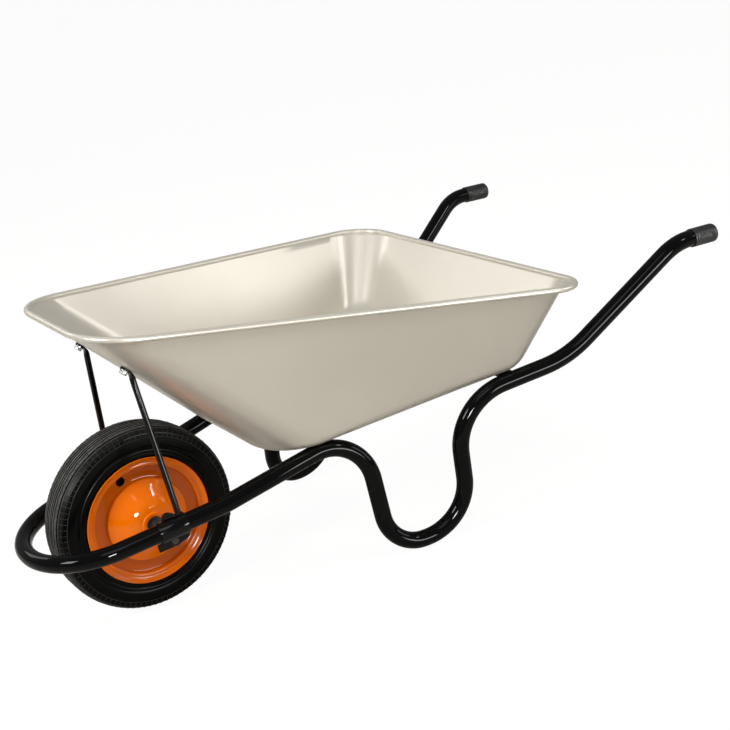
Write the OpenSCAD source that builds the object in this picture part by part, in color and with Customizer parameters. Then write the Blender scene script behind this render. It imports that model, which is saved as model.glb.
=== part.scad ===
// Builder's wheelbarrow: one bent tube frame, a pressed tray, two stays and a cushion-tyred wheel.
// Millimetres, +Z up, the wheel towards -X and the handles towards +X, the ground at Z = 0.
// Every station along the barrow is measured from the axle, which stands at axle_x.

/* [Wheel] */
// Outer diameter of the tyre
wheel_d = 330; // [310:5:350]
// Width of the tyre across its sidewalls
tyre_w = 77; // [72:1:84]
// Drop of the tread from its middle to the shoulder
crown_drop = 9.5; // [6:0.5:12]
// Diameter of the rim band that the tyre sits on
band_d = 208; // [196:2:214]
// Height of the rim flange above the rim band
flange_h = 8.6; // [6:0.2:11]
// Thickness of the pressed rim discs
disc_t = 2; // [1.5:0.1:2.5]
// Distance of the flat ring of each disc from the wheel's middle
disc_half_w = 34; // [31:0.5:36]
// Diameter of the dome where it leaves the flat ring
dome_d = 146; // [130:2:160]
// Distance of the hub collar from the wheel's middle
collar_half_w = 64; // [58:0.5:70]
// Outer diameter of the hub collar
collar_d = 37; // [34:1:44]
// Diameter of the valve hole in the left disc
valve_hole_d = 11; // [8:0.5:13]
// Angle of the valve hole ahead of straight up
valve_angle = 20; // [0:5:45]
// Outer diameter of the hub tube
hub_d = 23.4; // [22:0.2:26]
// Wall of the hub tube
hub_wall = 2; // [1.5:0.1:2.4]

/* [Axle] */
// Diameter of the axle
axle_d = 12.8; // [11:0.2:14]
// Diameter of the turned spigot at each end of the axle
spigot_d = 10; // [8:0.5:10.5]
// Length of the spigot that stands out past the bracket
spigot_out = 2.4; // [1.8:0.2:4]
// Distance of the inner face of the axle washer from the wheel's middle
washer_half_w = 92; // [84:1:98]
// Across the flats of the axle nut
axle_nut_af = 22; // [20:0.5:24]
// Thickness of the axle nut
axle_nut_t = 11; // [8:0.5:12]
// Outer diameter of the axle washer
axle_washer_d = 30; // [26:1:34]
// Thickness of the axle washer
axle_washer_t = 2.5; // [2:0.1:3]
// Outer diameter of the axle spacer
spacer_d = 18; // [16.8:0.2:22]
// Length of each hub bush inside the hub tube
bush_len = 14; // [8:1:24]
// Thickness of the flange on each hub bush
bush_flange_t = 2; // [1:0.2:3]

/* [Frame] */
// Outer diameter of the frame tube
tube_d = 30; // [27:0.5:32]
// Wall of the frame tube
tube_wall = 1.5; // [1.2:0.1:2.5]
// Gap between the tyre and the front loop
loop_clear = 25.8; // [18:0.1:35]
// Bend radius of the front loop
loop_bend_r = 134; // [90:2:136]
// Distance of the tube's centre from the middle plane at the axle
fork_half_w = 145.2; // [140:0.2:150]
// Angle by which each fork side opens towards the handles
fork_toe = 6.4; // [5:0.1:7]
// Angle by which each fork side rises towards the handles
fork_rise = 4.8; // [3:0.1:5.5]
// Station of the joint between the loop and each side tube
fork_joint_x = 58; // [46:1:64]
// Station of the slight bend behind the wheel
fork_bend_x = 94; // [88:1:110]
// Bend radius of that slight bend
fork_bend_r = 180; // [100:10:200]
// Station of the front limb of each leg
leg_front_x = 362.5; // [350:0.5:364.5]
// Station of the rear limb of each leg
leg_rear_x = 518.5; // [517:0.5:530]
// Distance of the hump's corner from the middle plane
hump_half_w = 176.6; // [170:0.1:186]
// Bend radius of the hump under the tray
hump_bend_r = 81; // [66:1:84]
// Distance of the front of the foot from the middle plane
foot_front_half_w = 210; // [202:1:216]
// Distance of the rear of the foot from the middle plane
foot_rear_half_w = 234; // [224:1:246]
// Bend radius at the front of the foot
foot_front_bend_r = 65.5; // [50:0.5:66]
// Bend radius at the rear of the foot
foot_rear_bend_r = 90; // [70:1:91]
// Distance of the knee's corner from the middle plane
knee_half_w = 242.4; // [234:0.2:250]
// Bend radius of the knee under the rear of the tray
knee_bend_r = 107; // [90:1:110]
// Station of the bend where the handle starts to climb
shoulder_x = 738.5; // [728:0.5:750]
// Distance of that bend from the middle plane
shoulder_half_w = 287.6; // [276:0.2:296]
// Bend radius where the handle starts to climb
shoulder_bend_r = 190; // [120:5:200]
// Station of the bend in front of the grip
handle_x = 968.5; // [955:0.5:985]
// Distance of the grip from the middle plane
handle_half_w = 340; // [330:1:350]
// Height of the bend in front of the grip
handle_h = 423.4; // [412:0.2:436]
// Bend radius in front of the grip
handle_bend_r = 90; // [60:1:92]
// Distance from that bend's corner to the tube's end
handle_tip_len = 84.4; // [83:0.2:110]
// Angle by which the grip points down
grip_dip = 4.6; // [1:0.2:8]

/* [Grips] */
// Length of the grip over the tube
grip_len = 49; // [36:1:50]
// Wall of the grip
grip_wall = 1.8; // [1.4:0.1:3]
// Thickness of the grip's closed end
grip_end_t = 4.6; // [3:0.2:6]

/* [Tray] */
// Station of the front edge of the tray floor
floor_front_x = 204.6; // [196:0.2:212]
// Length of the tray floor
floor_len = 457.8; // [450:0.2:464]
// Half width of the floor at its front edge
floor_front_half_w = 177.8; // [172:0.2:186]
// Half width of the floor at its rear edge
floor_rear_half_w = 280.4; // [270:0.2:290]
// Height of the floor's underside at its front edge
floor_h = 235.6; // [230:0.2:242]
// Angle by which the floor rises towards the handles
floor_rise = 5.3; // [4.6:0.1:6]
// Corner radius of the floor at its front edge
floor_front_corner_r = 106; // [95:1:112]
// Corner radius of the floor at its rear edge
floor_rear_corner_r = 39; // [30:1:60]
// Length of the rounding where floor and walls meet
floor_round = 26; // [15:0.2:28]
// Station of the front edge of the rim
rim_front_x = -75.6; // [-85:0.2:-60]
// Length of the rim
rim_len = 831.6; // [820:0.2:845]
// Half width of the rim at its front edge
rim_front_half_w = 171.2; // [168:0.2:184]
// Half width of the rim at its rear edge
rim_rear_half_w = 370.6; // [360:0.2:385]
// Height of the rim at its front edge
rim_h = 541.8; // [530:0.2:555]
// Angle by which the rim falls towards the handles
rim_fall = 8.8; // [7.5:0.1:10]
// Corner radius of the rim at its front edge
rim_front_corner_r = 112; // [104:1:116]
// Corner radius of the rim at its rear edge
rim_rear_corner_r = 64; // [60:1:80]
// Corner radius of the walls' top at the front
wall_front_corner_r = 104; // [98:1:110]
// Corner radius of the walls' top at the rear
wall_rear_corner_r = 81; // [70:1:90]
// Width of the lip from the walls' top out to the middle of the rolled edge
lip_w = 6; // [5.6:0.1:10]
// Width of that lip at the rear of the side walls
lip_side_w = 7.8; // [7:0.1:12]
// Drop from the middle of the rolled edge to the walls' top
lip_drop = 4.4; // [3.8:0.1:6]
// Thickness of the tray's sheet
sheet_t = 1.5; // [1.2:0.1:2]
// Diameter of the rolled edge round the rim
bead_d = 11; // [7:0.5:12]

/* [Stays] */
// Diameter of each stay rod
stay_d = 9.5; // [8:0.1:10]
// Station where each stay stands on its bracket
stay_foot_x = 16; // [15:0.5:18]
// Height of the stay's bolt on the front wall
stay_bolt_h = 460; // [448:1:470]
// Length of the flattened end from its bolt down to the bend
stay_bolt_drop = 15; // [14:0.5:20]
// Thickness of the stay's flattened end
paddle_t = 4; // [3:0.5:5]
// Width of the stay's flattened end
paddle_w = 17; // [15:0.5:20]

/* [Brackets] */
// Thickness of the axle brackets
bracket_t = 3; // [2.5:0.1:3.5]
// Length of the strap round the tube
strap_len = 50; // [47:1:56]
// Depth of the bracket's lower plate below the tube's centre
plate_drop = 32.5; // [31:0.5:38]
// Height of the bracket's tab above the tube's centre
tab_h = 30.5; // [27:0.5:34]

/* [Cross straps] */
// Width of the flat bars that join the tubes under the tray
cross_w = 25; // [20:1:30]
// Thickness of those flat bars
cross_t = 4; // [3:0.5:5]
// Distance from the rear edge of the floor to the rear bar
cross_rear_in = 41; // [39:1:46]
// Distance of the front floor bolts from the middle plane
front_bolt_half_w = 125; // [90:1:138]
// Distance of the rear floor bolts from the middle plane
rear_bolt_half_w = 180; // [150:1:210]

/* [Fasteners] */
// Thread diameter of the stay and tray bolts
bolt_d = 8; // [6:0.5:8]
// Across the flats of the hexagon heads and nuts
hex_af = 13; // [12:0.5:13]
// Height of the hexagon heads
head_t = 5.3; // [4:0.1:6]
// Height of the nuts inside the tray
nut_t = 6.5; // [5:0.5:8]
// Outer diameter of the stay washers
washer_d = 16; // [14:0.5:17]
// Thickness of the stay washers
washer_t = 1.5; // [1:0.1:2]
// Diameter of the domed heads on the tray floor
dome_head_d = 19; // [16:0.5:22]
// Height of the domed heads on the tray floor
dome_head_t = 4; // [3:0.5:5]
// Height of the nuts under the cross straps
strap_nut_t = 5; // [4:0.5:6.5]

/* [Clearances] */
// Gap between pieces that seat on each other
seat_gap = 0.3; // [0.2:0.05:0.4]
// Radial running gap between the bushes and the axle
run_gap = 0.05; // [0.02:0.01:0.08]
// Axial gap between the wheel and the axle spacers
side_gap = 0.5; // [0.3:0.1:1]
// Radial gap round bolts in their holes
hole_gap = 0.2; // [0.1:0.05:0.4]

/* [Hidden] */
$fn = 96;

wheel_r = wheel_d / 2;
band_r = band_d / 2;
flange_r = band_r + flange_h;
dome_r = dome_d / 2;
collar_r = collar_d / 2;
hub_r = hub_d / 2;
axle_r = axle_d / 2;
spigot_r = spigot_d / 2;
tube_r = tube_d / 2;
bore_r = tube_r - tube_wall;
stay_r = stay_d / 2;
bead_r = bead_d / 2;
bolt_r = bolt_d / 2;

// The whole barrow is centred fore and aft between its loop and its grips.
loop_x = -(wheel_r + loop_clear + tube_r);
grip_end_x = handle_x + (handle_tip_len + grip_end_t) * cos(grip_dip) + (tube_r + grip_wall) * sin(grip_dip) / 4;
axle_x = -(loop_x - tube_r + grip_end_x) / 2;
axle_h = wheel_r;

// Vectors
function unit(v) = v / norm(v);
function mix(a, b, t) = a + (b - a) * t;
function heading(p, i) = unit(p[i + 1] - p[i]);

// The tray floor's underside, and the tube that lies under it
floor_slope = tan(floor_rise);
function floor_z(x) = floor_h + (x - floor_front_x) * floor_slope;
function under_floor_z(x) = floor_z(x) - (tube_r + seat_gap) / cos(floor_rise);
floor_up = [-sin(floor_rise), 0, cos(floor_rise)];

// The fork: both tubes pass just above the axle and run parallel to these lines
fork_h = axle_h + axle_r + 2 * seat_gap + tube_r;
function fork_point(x) = [x, fork_half_w + x * tan(fork_toe), fork_h + x * tan(fork_rise)];

// Bends: the angle turned at a corner, and how far from the corner its arc starts
function turned(p, i) = acos(heading(p, i - 1) * heading(p, i));
function setback(p, r, i) = i == 0 || i == len(p) - 1 ? 0 : r[i] * tan(turned(p, i) / 2);
function run_start(p, r, i) = p[i] + heading(p, i) * setback(p, r, i);
function run_end(p, r, i) = p[i + 1] - heading(p, i) * setback(p, r, i + 1);
function bend_normal(p, i) = unit(cross(heading(p, i - 1), heading(p, i)));
function bend_out(p, i) = cross(heading(p, i - 1), bend_normal(p, i));
function bend_centre(p, r, i) = run_end(p, r, i - 1) - bend_out(p, i) * r[i];

// The hump's corner is raised until the bent tube's crest is a seat gap below the floor.
function side_points(hump_h) = [
    fork_point(fork_joint_x),
    fork_point(fork_bend_x),
    [leg_front_x, hump_half_w, hump_h],
    [leg_front_x, foot_front_half_w, tube_r],
    [leg_rear_x, foot_rear_half_w, tube_r],
    [leg_rear_x, knee_half_w, under_floor_z(leg_rear_x)],
    [shoulder_x, shoulder_half_w, under_floor_z(shoulder_x)],
    [handle_x, handle_half_w, handle_h],
    [handle_x + handle_tip_len * cos(grip_dip), handle_half_w, handle_h - handle_tip_len * sin(grip_dip)]
];
side_bends = [
    0, fork_bend_r, hump_bend_r, foot_front_bend_r, foot_rear_bend_r,
    knee_bend_r, shoulder_bend_r, handle_bend_r, 0
];
HUMP = 2;
KNEE = 5;
SHOULDER = 6;
function hump_out(p) = unit(floor_up - bend_normal(p, HUMP) * (floor_up * bend_normal(p, HUMP)));
function hump_crest(p) = bend_centre(p, side_bends, HUMP) + hump_out(p) * hump_bend_r;
function hump_short(p) = under_floor_z(hump_crest(p)[0]) - hump_crest(p)[2];
function settled(h, tries) = tries == 0 ? h : settled(h + hump_short(side_points(h)), tries - 1);
hump_h = settled(floor_h, 5);
side_path = side_points(hump_h);
hump_seat = hump_crest(side_path);

// The run between knee and shoulder lies along the floor and carries the rear cross strap.
floor_rear_x = floor_front_x + floor_len;
cross_rear_x = floor_rear_x - cross_rear_in;
rear_seat = mix(
    side_path[KNEE], side_path[SHOULDER],
    (cross_rear_x - side_path[KNEE][0]) / (side_path[SHOULDER][0] - side_path[KNEE][0])
);

// The front loop ends where the side tubes start.
function mirrored(p) = [p[0], -p[1], p[2]];
loop_corner = fork_point(loop_x);
loop_path = [fork_point(fork_joint_x), loop_corner, mirrored(loop_corner), mirrored(fork_point(fork_joint_x))];
loop_reach = loop_corner[1] / tan(turned(loop_path, 1) / 2);
loop_r = min(loop_bend_r, loop_reach);
loop_bends = [0, loop_r, loop_r, 0];

// A thin collar over each joint of run and bend, so that they make one tube
LAP_R = 0.01;
LAP_LEN = 0.5;

module frame_at(x_dir, y_dir, z_dir, at) {
    multmatrix([
        [x_dir[0], y_dir[0], z_dir[0], at[0]],
        [x_dir[1], y_dir[1], z_dir[1], at[1]],
        [x_dir[2], y_dir[2], z_dir[2], at[2]]
    ])
        children();
}

module along(a, b) {
    d = unit(b - a);
    s = unit(cross(abs(d[2]) < 0.9 ? [0, 0, 1] : [1, 0, 0], d));
    frame_at(s, cross(d, s), d, a)
        children();
}

module lap(at, d, r) {
    along(at - d * LAP_LEN, at + d)
        cylinder(h = 2 * LAP_LEN, r = r + LAP_R);
}

module bend(p, bends, i, r) {
    frame_at(bend_out(p, i), heading(p, i - 1), bend_normal(p, i), bend_centre(p, bends, i))
        rotate_extrude(angle = turned(p, i))
            translate([bends[i], 0])
                circle(r = r);
}

module bent_rod(p, bends, r, past) {
    last = len(p) - 1;
    for (i = [0 : last - 1]) {
        from = run_start(p, bends, i) - (i == 0 ? heading(p, i) * past : [0, 0, 0]);
        to = run_end(p, bends, i) + (i == last - 1 ? heading(p, i) * past : [0, 0, 0]);
        along(from, to)
            cylinder(h = norm(to - from), r = r);
    }
    for (i = [1 : last - 1]) {
        bend(p, bends, i, r);
        lap(run_end(p, bends, i - 1), heading(p, i - 1), r);
        lap(run_start(p, bends, i), heading(p, i), r);
    }
}

module bent_tube(p, bends) {
    difference() {
        bent_rod(p, bends, tube_r, 0);
        bent_rod(p, bends, bore_r, 1);
    }
}

module both_sides() {
    children();
    mirror([0, 1, 0])
        children();
}

// Frame
module side_tube() {
    bent_tube(side_path, side_bends);
}

module frame_loop() {
    color("#1a1a1c")
        translate([axle_x, 0, 0])
            bent_tube(loop_path, loop_bends);
}

module frame_side_right() {
    color("#1a1a1c")
        translate([axle_x, 0, 0])
            side_tube();
}

module frame_side_left() {
    color("#202024")
        translate([axle_x, 0, 0])
            mirror([0, 1, 0])
                side_tube();
}

// Grips
module grip() {
    tip = side_path[len(side_path) - 1];
    grip_r = tube_r + grip_wall;
    sleeve_r = tube_r + seat_gap / 2;
    along(tip, tip + heading(side_path, len(side_path) - 2))
        rotate_extrude()
            polygon([
                [sleeve_r, -grip_len],
                [grip_r, -grip_len],
                [grip_r, grip_end_t - grip_wall],
                [grip_r - grip_wall * 0.3, grip_end_t - grip_wall * 0.3],
                [grip_r - grip_wall, grip_end_t],
                [0, grip_end_t],
                [0, seat_gap],
                [sleeve_r, seat_gap]
            ]);
}

module grip_right() {
    color("#3a3a3c")
        translate([axle_x, 0, 0])
            grip();
}

module grip_left() {
    color("#3a3a3c")
        translate([axle_x, 0, 0])
            mirror([0, 1, 0])
                grip();
}

// Tray: rounded four-sided loops, wider at the rear, lofted from the floor to the rolled rim
CORNER_STEPS = 6;
SIDE_STEPS = 5;
ROUND_STEPS = 4;
WALL_STEPS = 3;
BEAD_STEPS = 9;
rim_slope = tan(rim_fall);
rim_rear_x = rim_front_x + rim_len;

function dir(a) = [cos(a), sin(a)];
function splay(xf, wf, xr, wr) = atan((wr - wf) / (xr - xf));
function front_centre(xf, wf, s, r) = [xf + r, wf - r * (1 - sin(s)) / cos(s)];
function rear_centre(xf, wf, xr, s, r) = [xr - r, wf + (sin(s) * (xr - r - xf) - r) / cos(s)];
function flip(v) = [v[0], -v[1]];
function corner(c, r, a, b) = [for (j = [0 : CORNER_STEPS]) c + r * dir(a + (b - a) * j / CORNER_STEPS)];
function edge(p, q) = [for (j = [1 : SIDE_STEPS - 1]) mix(p, q, j / SIDE_STEPS)];
function closed(a, b, c, d) = concat(
    a, edge(a[CORNER_STEPS], b[0]),
    b, edge(b[CORNER_STEPS], c[0]),
    c, edge(c[CORNER_STEPS], d[0]),
    d, edge(d[CORNER_STEPS], a[0])
);
function corners(rc, fc, rf, rr, s) = closed(
    corner(rc, rr, 0, 90 + s),
    corner(fc, rf, 90 + s, 180),
    corner(flip(fc), rf, 180, 270 - s),
    corner(flip(rc), rr, 270 - s, 360)
);
function outline(xf, wf, xr, wr, rf, rr, s) = corners(
    rear_centre(xf, wf, xr, s, rr), front_centre(xf, wf, s, rf), rf, rr, s
);

floor_splay = splay(floor_front_x, floor_front_half_w, floor_rear_x, floor_rear_half_w);
floor_xy = outline(
    floor_front_x, floor_front_half_w, floor_rear_x, floor_rear_half_w,
    floor_front_corner_r, floor_rear_corner_r, floor_splay
);
rim_splay = splay(rim_front_x, rim_front_half_w, rim_rear_x, rim_rear_half_w);
rim_xy = outline(
    rim_front_x, rim_front_half_w, rim_rear_x, rim_rear_half_w,
    rim_front_corner_r, rim_rear_corner_r, rim_splay
);
wall_front = [rim_front_x + lip_w, rim_front_half_w - lip_w];
wall_rear = [rim_rear_x - lip_w, rim_rear_half_w - lip_side_w];
wall_xy = outline(
    wall_front[0], wall_front[1], wall_rear[0], wall_rear[1], wall_front_corner_r, wall_rear_corner_r,
    splay(wall_front[0], wall_front[1], wall_rear[0], wall_rear[1])
);
out_xy = corners([0, 0], [0, 0], 1, 1, rim_splay);
STATIONS = len(rim_xy);

function on_floor(q, lift) = [q[0], q[1], floor_z(q[0]) + lift];
function on_rim(q, drop) = [q[0], q[1], rim_h - (q[0] - rim_front_x) * rim_slope - drop];
function outward(i) = [out_xy[i][0], out_xy[i][1], 0];
function rim_point(i) = on_rim(rim_xy[i], 0);
function top_point(i) = on_rim(wall_xy[i], lip_drop);
function foot_point(i) = on_floor(floor_xy[i], 0);

// The inner face stands one sheet thickness inside the outer one.
function wall_run(i) = top_point(i) - foot_point(i);
function wall_slant(i) = sheet_t / wall_run(i)[2];
function wall_inset(i) = wall_slant(i) * norm([wall_run(i) * outward(i), wall_run(i)[2]]);
function moved_in(i, p) = p - outward(i) * wall_inset(i) + wall_run(i) * wall_slant(i);
function rounded(a, b, c, t) = (1 - t) * (1 - t) * a + 2 * (1 - t) * t * b + t * t * c;
function wall_level(start, foot, top, k) = k <= ROUND_STEPS
    ? rounded(start, foot, foot + unit(top - foot) * floor_round, k / ROUND_STEPS)
    : mix(foot + unit(top - foot) * floor_round, top, (k - ROUND_STEPS) / WALL_STEPS);
function floor_start(i, lift) = on_floor(floor_xy[i] - out_xy[i] * floor_round, lift);
function outer_point(i, k) = wall_level(floor_start(i, 0), foot_point(i), top_point(i), k);
function inner_point(i, k) = wall_level(
    floor_start(i, sheet_t), moved_in(i, foot_point(i)), moved_in(i, top_point(i)), k
);

// The rolled edge starts and ends on its side towards the lip.
roll_in = asin(sheet_t / 2 / bead_r);
function lip_run(i) = top_point(i) - rim_point(i);
function bead_angle(i, j) = atan2(lip_run(i)[2], lip_run(i) * outward(i)) + roll_in
    + (360 - 2 * roll_in) * j / BEAD_STEPS;
function bead_point(i, a) = rim_point(i) + bead_r * (cos(a) * outward(i) + [0, 0, sin(a)]);

WALL_LEVELS = ROUND_STEPS + WALL_STEPS;
tray_loops = concat(
    [for (k = [0 : WALL_LEVELS]) [for (i = [0 : STATIONS - 1]) outer_point(i, k)]],
    [for (j = [0 : BEAD_STEPS]) [for (i = [0 : STATIONS - 1]) bead_point(i, bead_angle(i, j))]],
    [for (k = [WALL_LEVELS : -1 : 0]) [for (i = [0 : STATIONS - 1]) inner_point(i, k)]]
);
function middle(loop) = [for (p = loop) 1] * loop / len(loop);

module skin(loops) {
    n = len(loops[0]);
    last = len(loops) - 1;
    ends = n * (last + 1);
    bottom = [for (i = [0 : n - 1]) [i, (i + 1) % n, ends]];
    top = [for (i = [0 : n - 1]) [last * n + (i + 1) % n, last * n + i, ends + 1]];
    walls = [
        for (k = [0 : last - 1])
            for (i = [0 : n - 1])
                for (half = [0, 1])
                    half == 0
                        ? [k * n + i, (k + 1) * n + i, (k + 1) * n + (i + 1) % n]
                        : [k * n + i, (k + 1) * n + (i + 1) % n, k * n + (i + 1) % n]
    ];
    polyhedron(
        points = concat([for (l = loops) for (p = l) p], [middle(loops[0]), middle(loops[last])]),
        faces = concat(bottom, walls, top)
    );
}

// Each stay lies on the flat strip where the front wall starts to turn into the side wall.
STRIP = 2 * CORNER_STEPS + SIDE_STEPS;
strip_foot = mix(outer_point(STRIP - 1, ROUND_STEPS), outer_point(STRIP, ROUND_STEPS), 0.5);
strip_top = mix(top_point(STRIP - 1), top_point(STRIP), 0.5);
wall_up = unit(strip_top - strip_foot);
wall_out = unit(cross(top_point(STRIP) - top_point(STRIP - 1), wall_up));
stay_bolt_at = strip_foot + wall_up * (stay_bolt_h - strip_foot[2]) / wall_up[2];
stay_bend_on_wall = stay_bolt_at - wall_up * stay_bolt_drop;

// Four bolts hold the floor on the two cross straps.
floor_bolts = [
    [hump_seat[0], front_bolt_half_w, floor_z(hump_seat[0])],
    [cross_rear_x, rear_bolt_half_w, floor_z(cross_rear_x)]
];

module at_floor_bolts() {
    both_sides()
        for (at = floor_bolts)
            along(at, at + floor_up)
                children();
}

module tray() {
    color("#cfcabb")
        translate([axle_x, 0, 0])
            difference() {
                skin(tray_loops);
                at_floor_bolts()
                    cylinder(h = tube_d, r = bolt_r + hole_gap, center = true);
                both_sides()
                    along(stay_bolt_at + wall_out * hex_af, stay_bolt_at)
                        cylinder(h = 2 * hex_af, r = bolt_r + hole_gap);
            }
}

// Stays: a rod with a flattened end that lies on the front wall
module stay() {
    bend = stay_bend_on_wall + wall_out * (stay_r + seat_gap);
    foot = fork_point(stay_foot_x);
    rod = unit(foot - bend);
    end = foot - rod * (tube_r + seat_gap + bracket_t + stay_r * sin(2 * fork_rise));
    tongue = unit(stay_bolt_at - stay_bend_on_wall);
    along(bend, end)
        cylinder(h = norm(end - bend), r = stay_r);
    translate(bend)
        sphere(r = stay_r);
    difference() {
        frame_at(cross(tongue, wall_out), tongue, wall_out, stay_bolt_at + wall_out * seat_gap) {
            cylinder(h = paddle_t, r = paddle_w / 2);
            translate([-paddle_w / 2, -norm(stay_bolt_at - stay_bend_on_wall), 0])
                cube([paddle_w, norm(stay_bolt_at - stay_bend_on_wall), paddle_t]);
        }
        along(stay_bolt_at, stay_bolt_at + wall_out)
            cylinder(h = hex_af, r = bolt_r + hole_gap);
    }
}

module stay_right() {
    color("#26262a")
        translate([axle_x, 0, 0])
            stay();
}

module stay_left() {
    color("#26262a")
        translate([axle_x, 0, 0])
            mirror([0, 1, 0])
                stay();
}

// Stay fasteners: head and washer outside, nut inside
washer_base = seat_gap + paddle_t;
head_base = washer_base + washer_t;
nut_base = sheet_t + seat_gap;

module hexagon(af, h) {
    cylinder(h = h, r = af / 2 / cos(30), $fn = 6);
}

module at_stay_bolts() {
    translate([axle_x, 0, 0])
        both_sides()
            along(stay_bolt_at, stay_bolt_at + wall_out)
                children();
}

module stay_bolts() {
    color("#c9ccd0")
        at_stay_bolts() {
            translate([0, 0, head_base])
                hexagon(hex_af, head_t);
            translate([0, 0, -nut_base - nut_t - 2])
                cylinder(h = nut_base + nut_t + 2 + head_base, r = bolt_r);
        }
}

module stay_washers() {
    color("#b4b8bc")
        at_stay_bolts()
            translate([0, 0, washer_base])
                difference() {
                    cylinder(h = washer_t, r = washer_d / 2);
                    translate([0, 0, -1])
                        cylinder(h = washer_t + 2, r = bolt_r + hole_gap);
                }
}

module stay_nuts() {
    color("#c9ccd0")
        at_stay_bolts()
            translate([0, 0, -nut_base - nut_t])
                difference() {
                    hexagon(hex_af, nut_t);
                    translate([0, 0, -1])
                        cylinder(h = nut_t + 2, r = bolt_r + hole_gap);
                }
}

// Cross straps: flat bars under the floor, their ends cut to the tubes that carry them
module floor_frame(x) {
    frame_at([cos(floor_rise), 0, sin(floor_rise)], [0, 1, 0], floor_up, [x, 0, floor_z(x)])
        children();
}

module cross_strap(at) {
    color("#242428")
        translate([axle_x, 0, 0])
            difference() {
                floor_frame(at[0])
                    translate([-cross_w / 2, -at[1], -seat_gap - cross_t])
                        cube([cross_w, 2 * at[1], cross_t]);
                both_sides()
                    children();
                at_floor_bolts()
                    cylinder(h = tube_d, r = bolt_r + hole_gap, center = true);
            }
}

module cross_strap_front() {
    cross_strap(hump_seat)
        frame_at(bend_out(side_path, HUMP), heading(side_path, HUMP - 1), bend_normal(side_path, HUMP),
            bend_centre(side_path, side_bends, HUMP))
            rotate_extrude()
                translate([hump_bend_r, 0])
                    circle(r = tube_r + 1.5 * seat_gap);
}

module cross_strap_rear() {
    cross_strap(rear_seat)
        along(side_path[KNEE], side_path[SHOULDER])
            cylinder(h = norm(side_path[SHOULDER] - side_path[KNEE]), r = tube_r + seat_gap);
}

// Tray bolts: domed heads on the floor, washers and nuts under the cross straps
strap_under = seat_gap + cross_t;
strap_nut_top = strap_under + seat_gap / 2 + washer_t;

module tray_bolts() {
    cap_r = (pow(dome_head_d / 2, 2) + pow(dome_head_t, 2)) / (2 * dome_head_t);
    head_seat = sheet_t + seat_gap / 2;
    shank = strap_nut_top + strap_nut_t + 1;
    color("#c9ccd0")
        translate([axle_x, 0, 0])
            at_floor_bolts() {
                translate([0, 0, -shank])
                    cylinder(h = shank + head_seat + dome_head_t / 2, r = bolt_r);
                intersection() {
                    translate([0, 0, head_seat + dome_head_t - cap_r])
                        sphere(r = cap_r);
                    translate([0, 0, head_seat])
                        cylinder(h = dome_head_t * 2, r = dome_head_d);
                }
            }
}

module tray_washers() {
    color("#b4b8bc")
        translate([axle_x, 0, 0])
            at_floor_bolts()
                ring(-strap_nut_top, -strap_nut_top + washer_t, washer_d / 2, bolt_r + hole_gap);
}

module tray_nuts() {
    color("#c9ccd0")
        translate([axle_x, 0, 0])
            at_floor_bolts()
                translate([0, 0, -strap_nut_top - strap_nut_t])
                    difference() {
                        hexagon(hex_af, strap_nut_t);
                        translate([0, 0, -1])
                            cylinder(h = strap_nut_t + 2, r = bolt_r + hole_gap);
                    }
}

// Axle brackets: a strap round the outer half of the tube, a plate for the axle below, a tab above
fork_dir = unit(fork_point(1) - fork_point(0));
fork_side = unit(cross([0, 0, 1], fork_dir));
fork_up = cross(fork_dir, fork_side);

module bracket() {
    strap_r = tube_r + seat_gap;
    outer_r = strap_r + bracket_t;
    half = strap_len / 2;
    difference() {
        frame_at(fork_dir, fork_side, fork_up, fork_point(0)) {
            intersection() {
                rotate([0, 90, 0])
                    translate([0, 0, -half])
                        difference() {
                            cylinder(h = strap_len, r = outer_r);
                            translate([0, 0, -1])
                                cylinder(h = strap_len + 2, r = strap_r);
                        }
                translate([-half - 1, -bracket_t / 2, -outer_r - 1])
                    cube([strap_len + 2, outer_r + bracket_t, 2 * outer_r + 2]);
            }
            translate([0, bracket_t / 2, 0])
                rotate([90, 0, 0])
                    linear_extrude(height = bracket_t)
                        difference() {
                            union() {
                                polygon([
                                    [-half, -strap_r], [-half - 9, -strap_r - 5], [-half - 8.5, -plate_drop],
                                    [-2.5, -plate_drop], [7.5, -plate_drop + 2], [half - 3, -plate_drop + 6],
                                    [half, -strap_r - 6], [half, -strap_r]
                                ]);
                                polygon([
                                    [-16, strap_r], [-13, tab_h - 5], [-9, tab_h - 1.5], [-4.5, tab_h],
                                    [2, tab_h - 2.5], [stay_foot_x - stay_r - 1, strap_r + 6],
                                    [stay_foot_x - stay_r - 1, strap_r]
                                ]);
                            }
                            square([strap_len * 2, 2 * strap_r], center = true);
                        }
        }
        translate([0, fork_half_w + tube_d, axle_h])
            rotate([90, 0, 0])
                cylinder(h = 2 * tube_d, r = spigot_r + hole_gap / 2);
    }
}

module axle_bracket_right() {
    color("#2c2c30")
        translate([axle_x, 0, 0])
            bracket();
}

module axle_bracket_left() {
    color("#2c2c30")
        translate([axle_x, 0, 0])
            mirror([0, 1, 0])
                bracket();
}

// Axle: its shoulders stand inside the brackets and its spigots pass through them
toe_reach = tan(fork_toe);
bracket_in = fork_half_w - bracket_t / 2 / cos(fork_toe) - axle_r * toe_reach - seat_gap;
clip_r = spigot_r + 2.2;
clip_in = fork_half_w + bracket_t / 2 / cos(fork_toe) + clip_r * toe_reach + seat_gap / 2;
axle_end = clip_in + spigot_out;
CLIP_T = 1.2;
CLIP_TOP = 3;

module on_axle() {
    translate([axle_x, 0, axle_h])
        rotate([-90, 0, 0])
            children();
}

module both_ends() {
    children();
    mirror([0, 0, 1])
        children();
}

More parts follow.
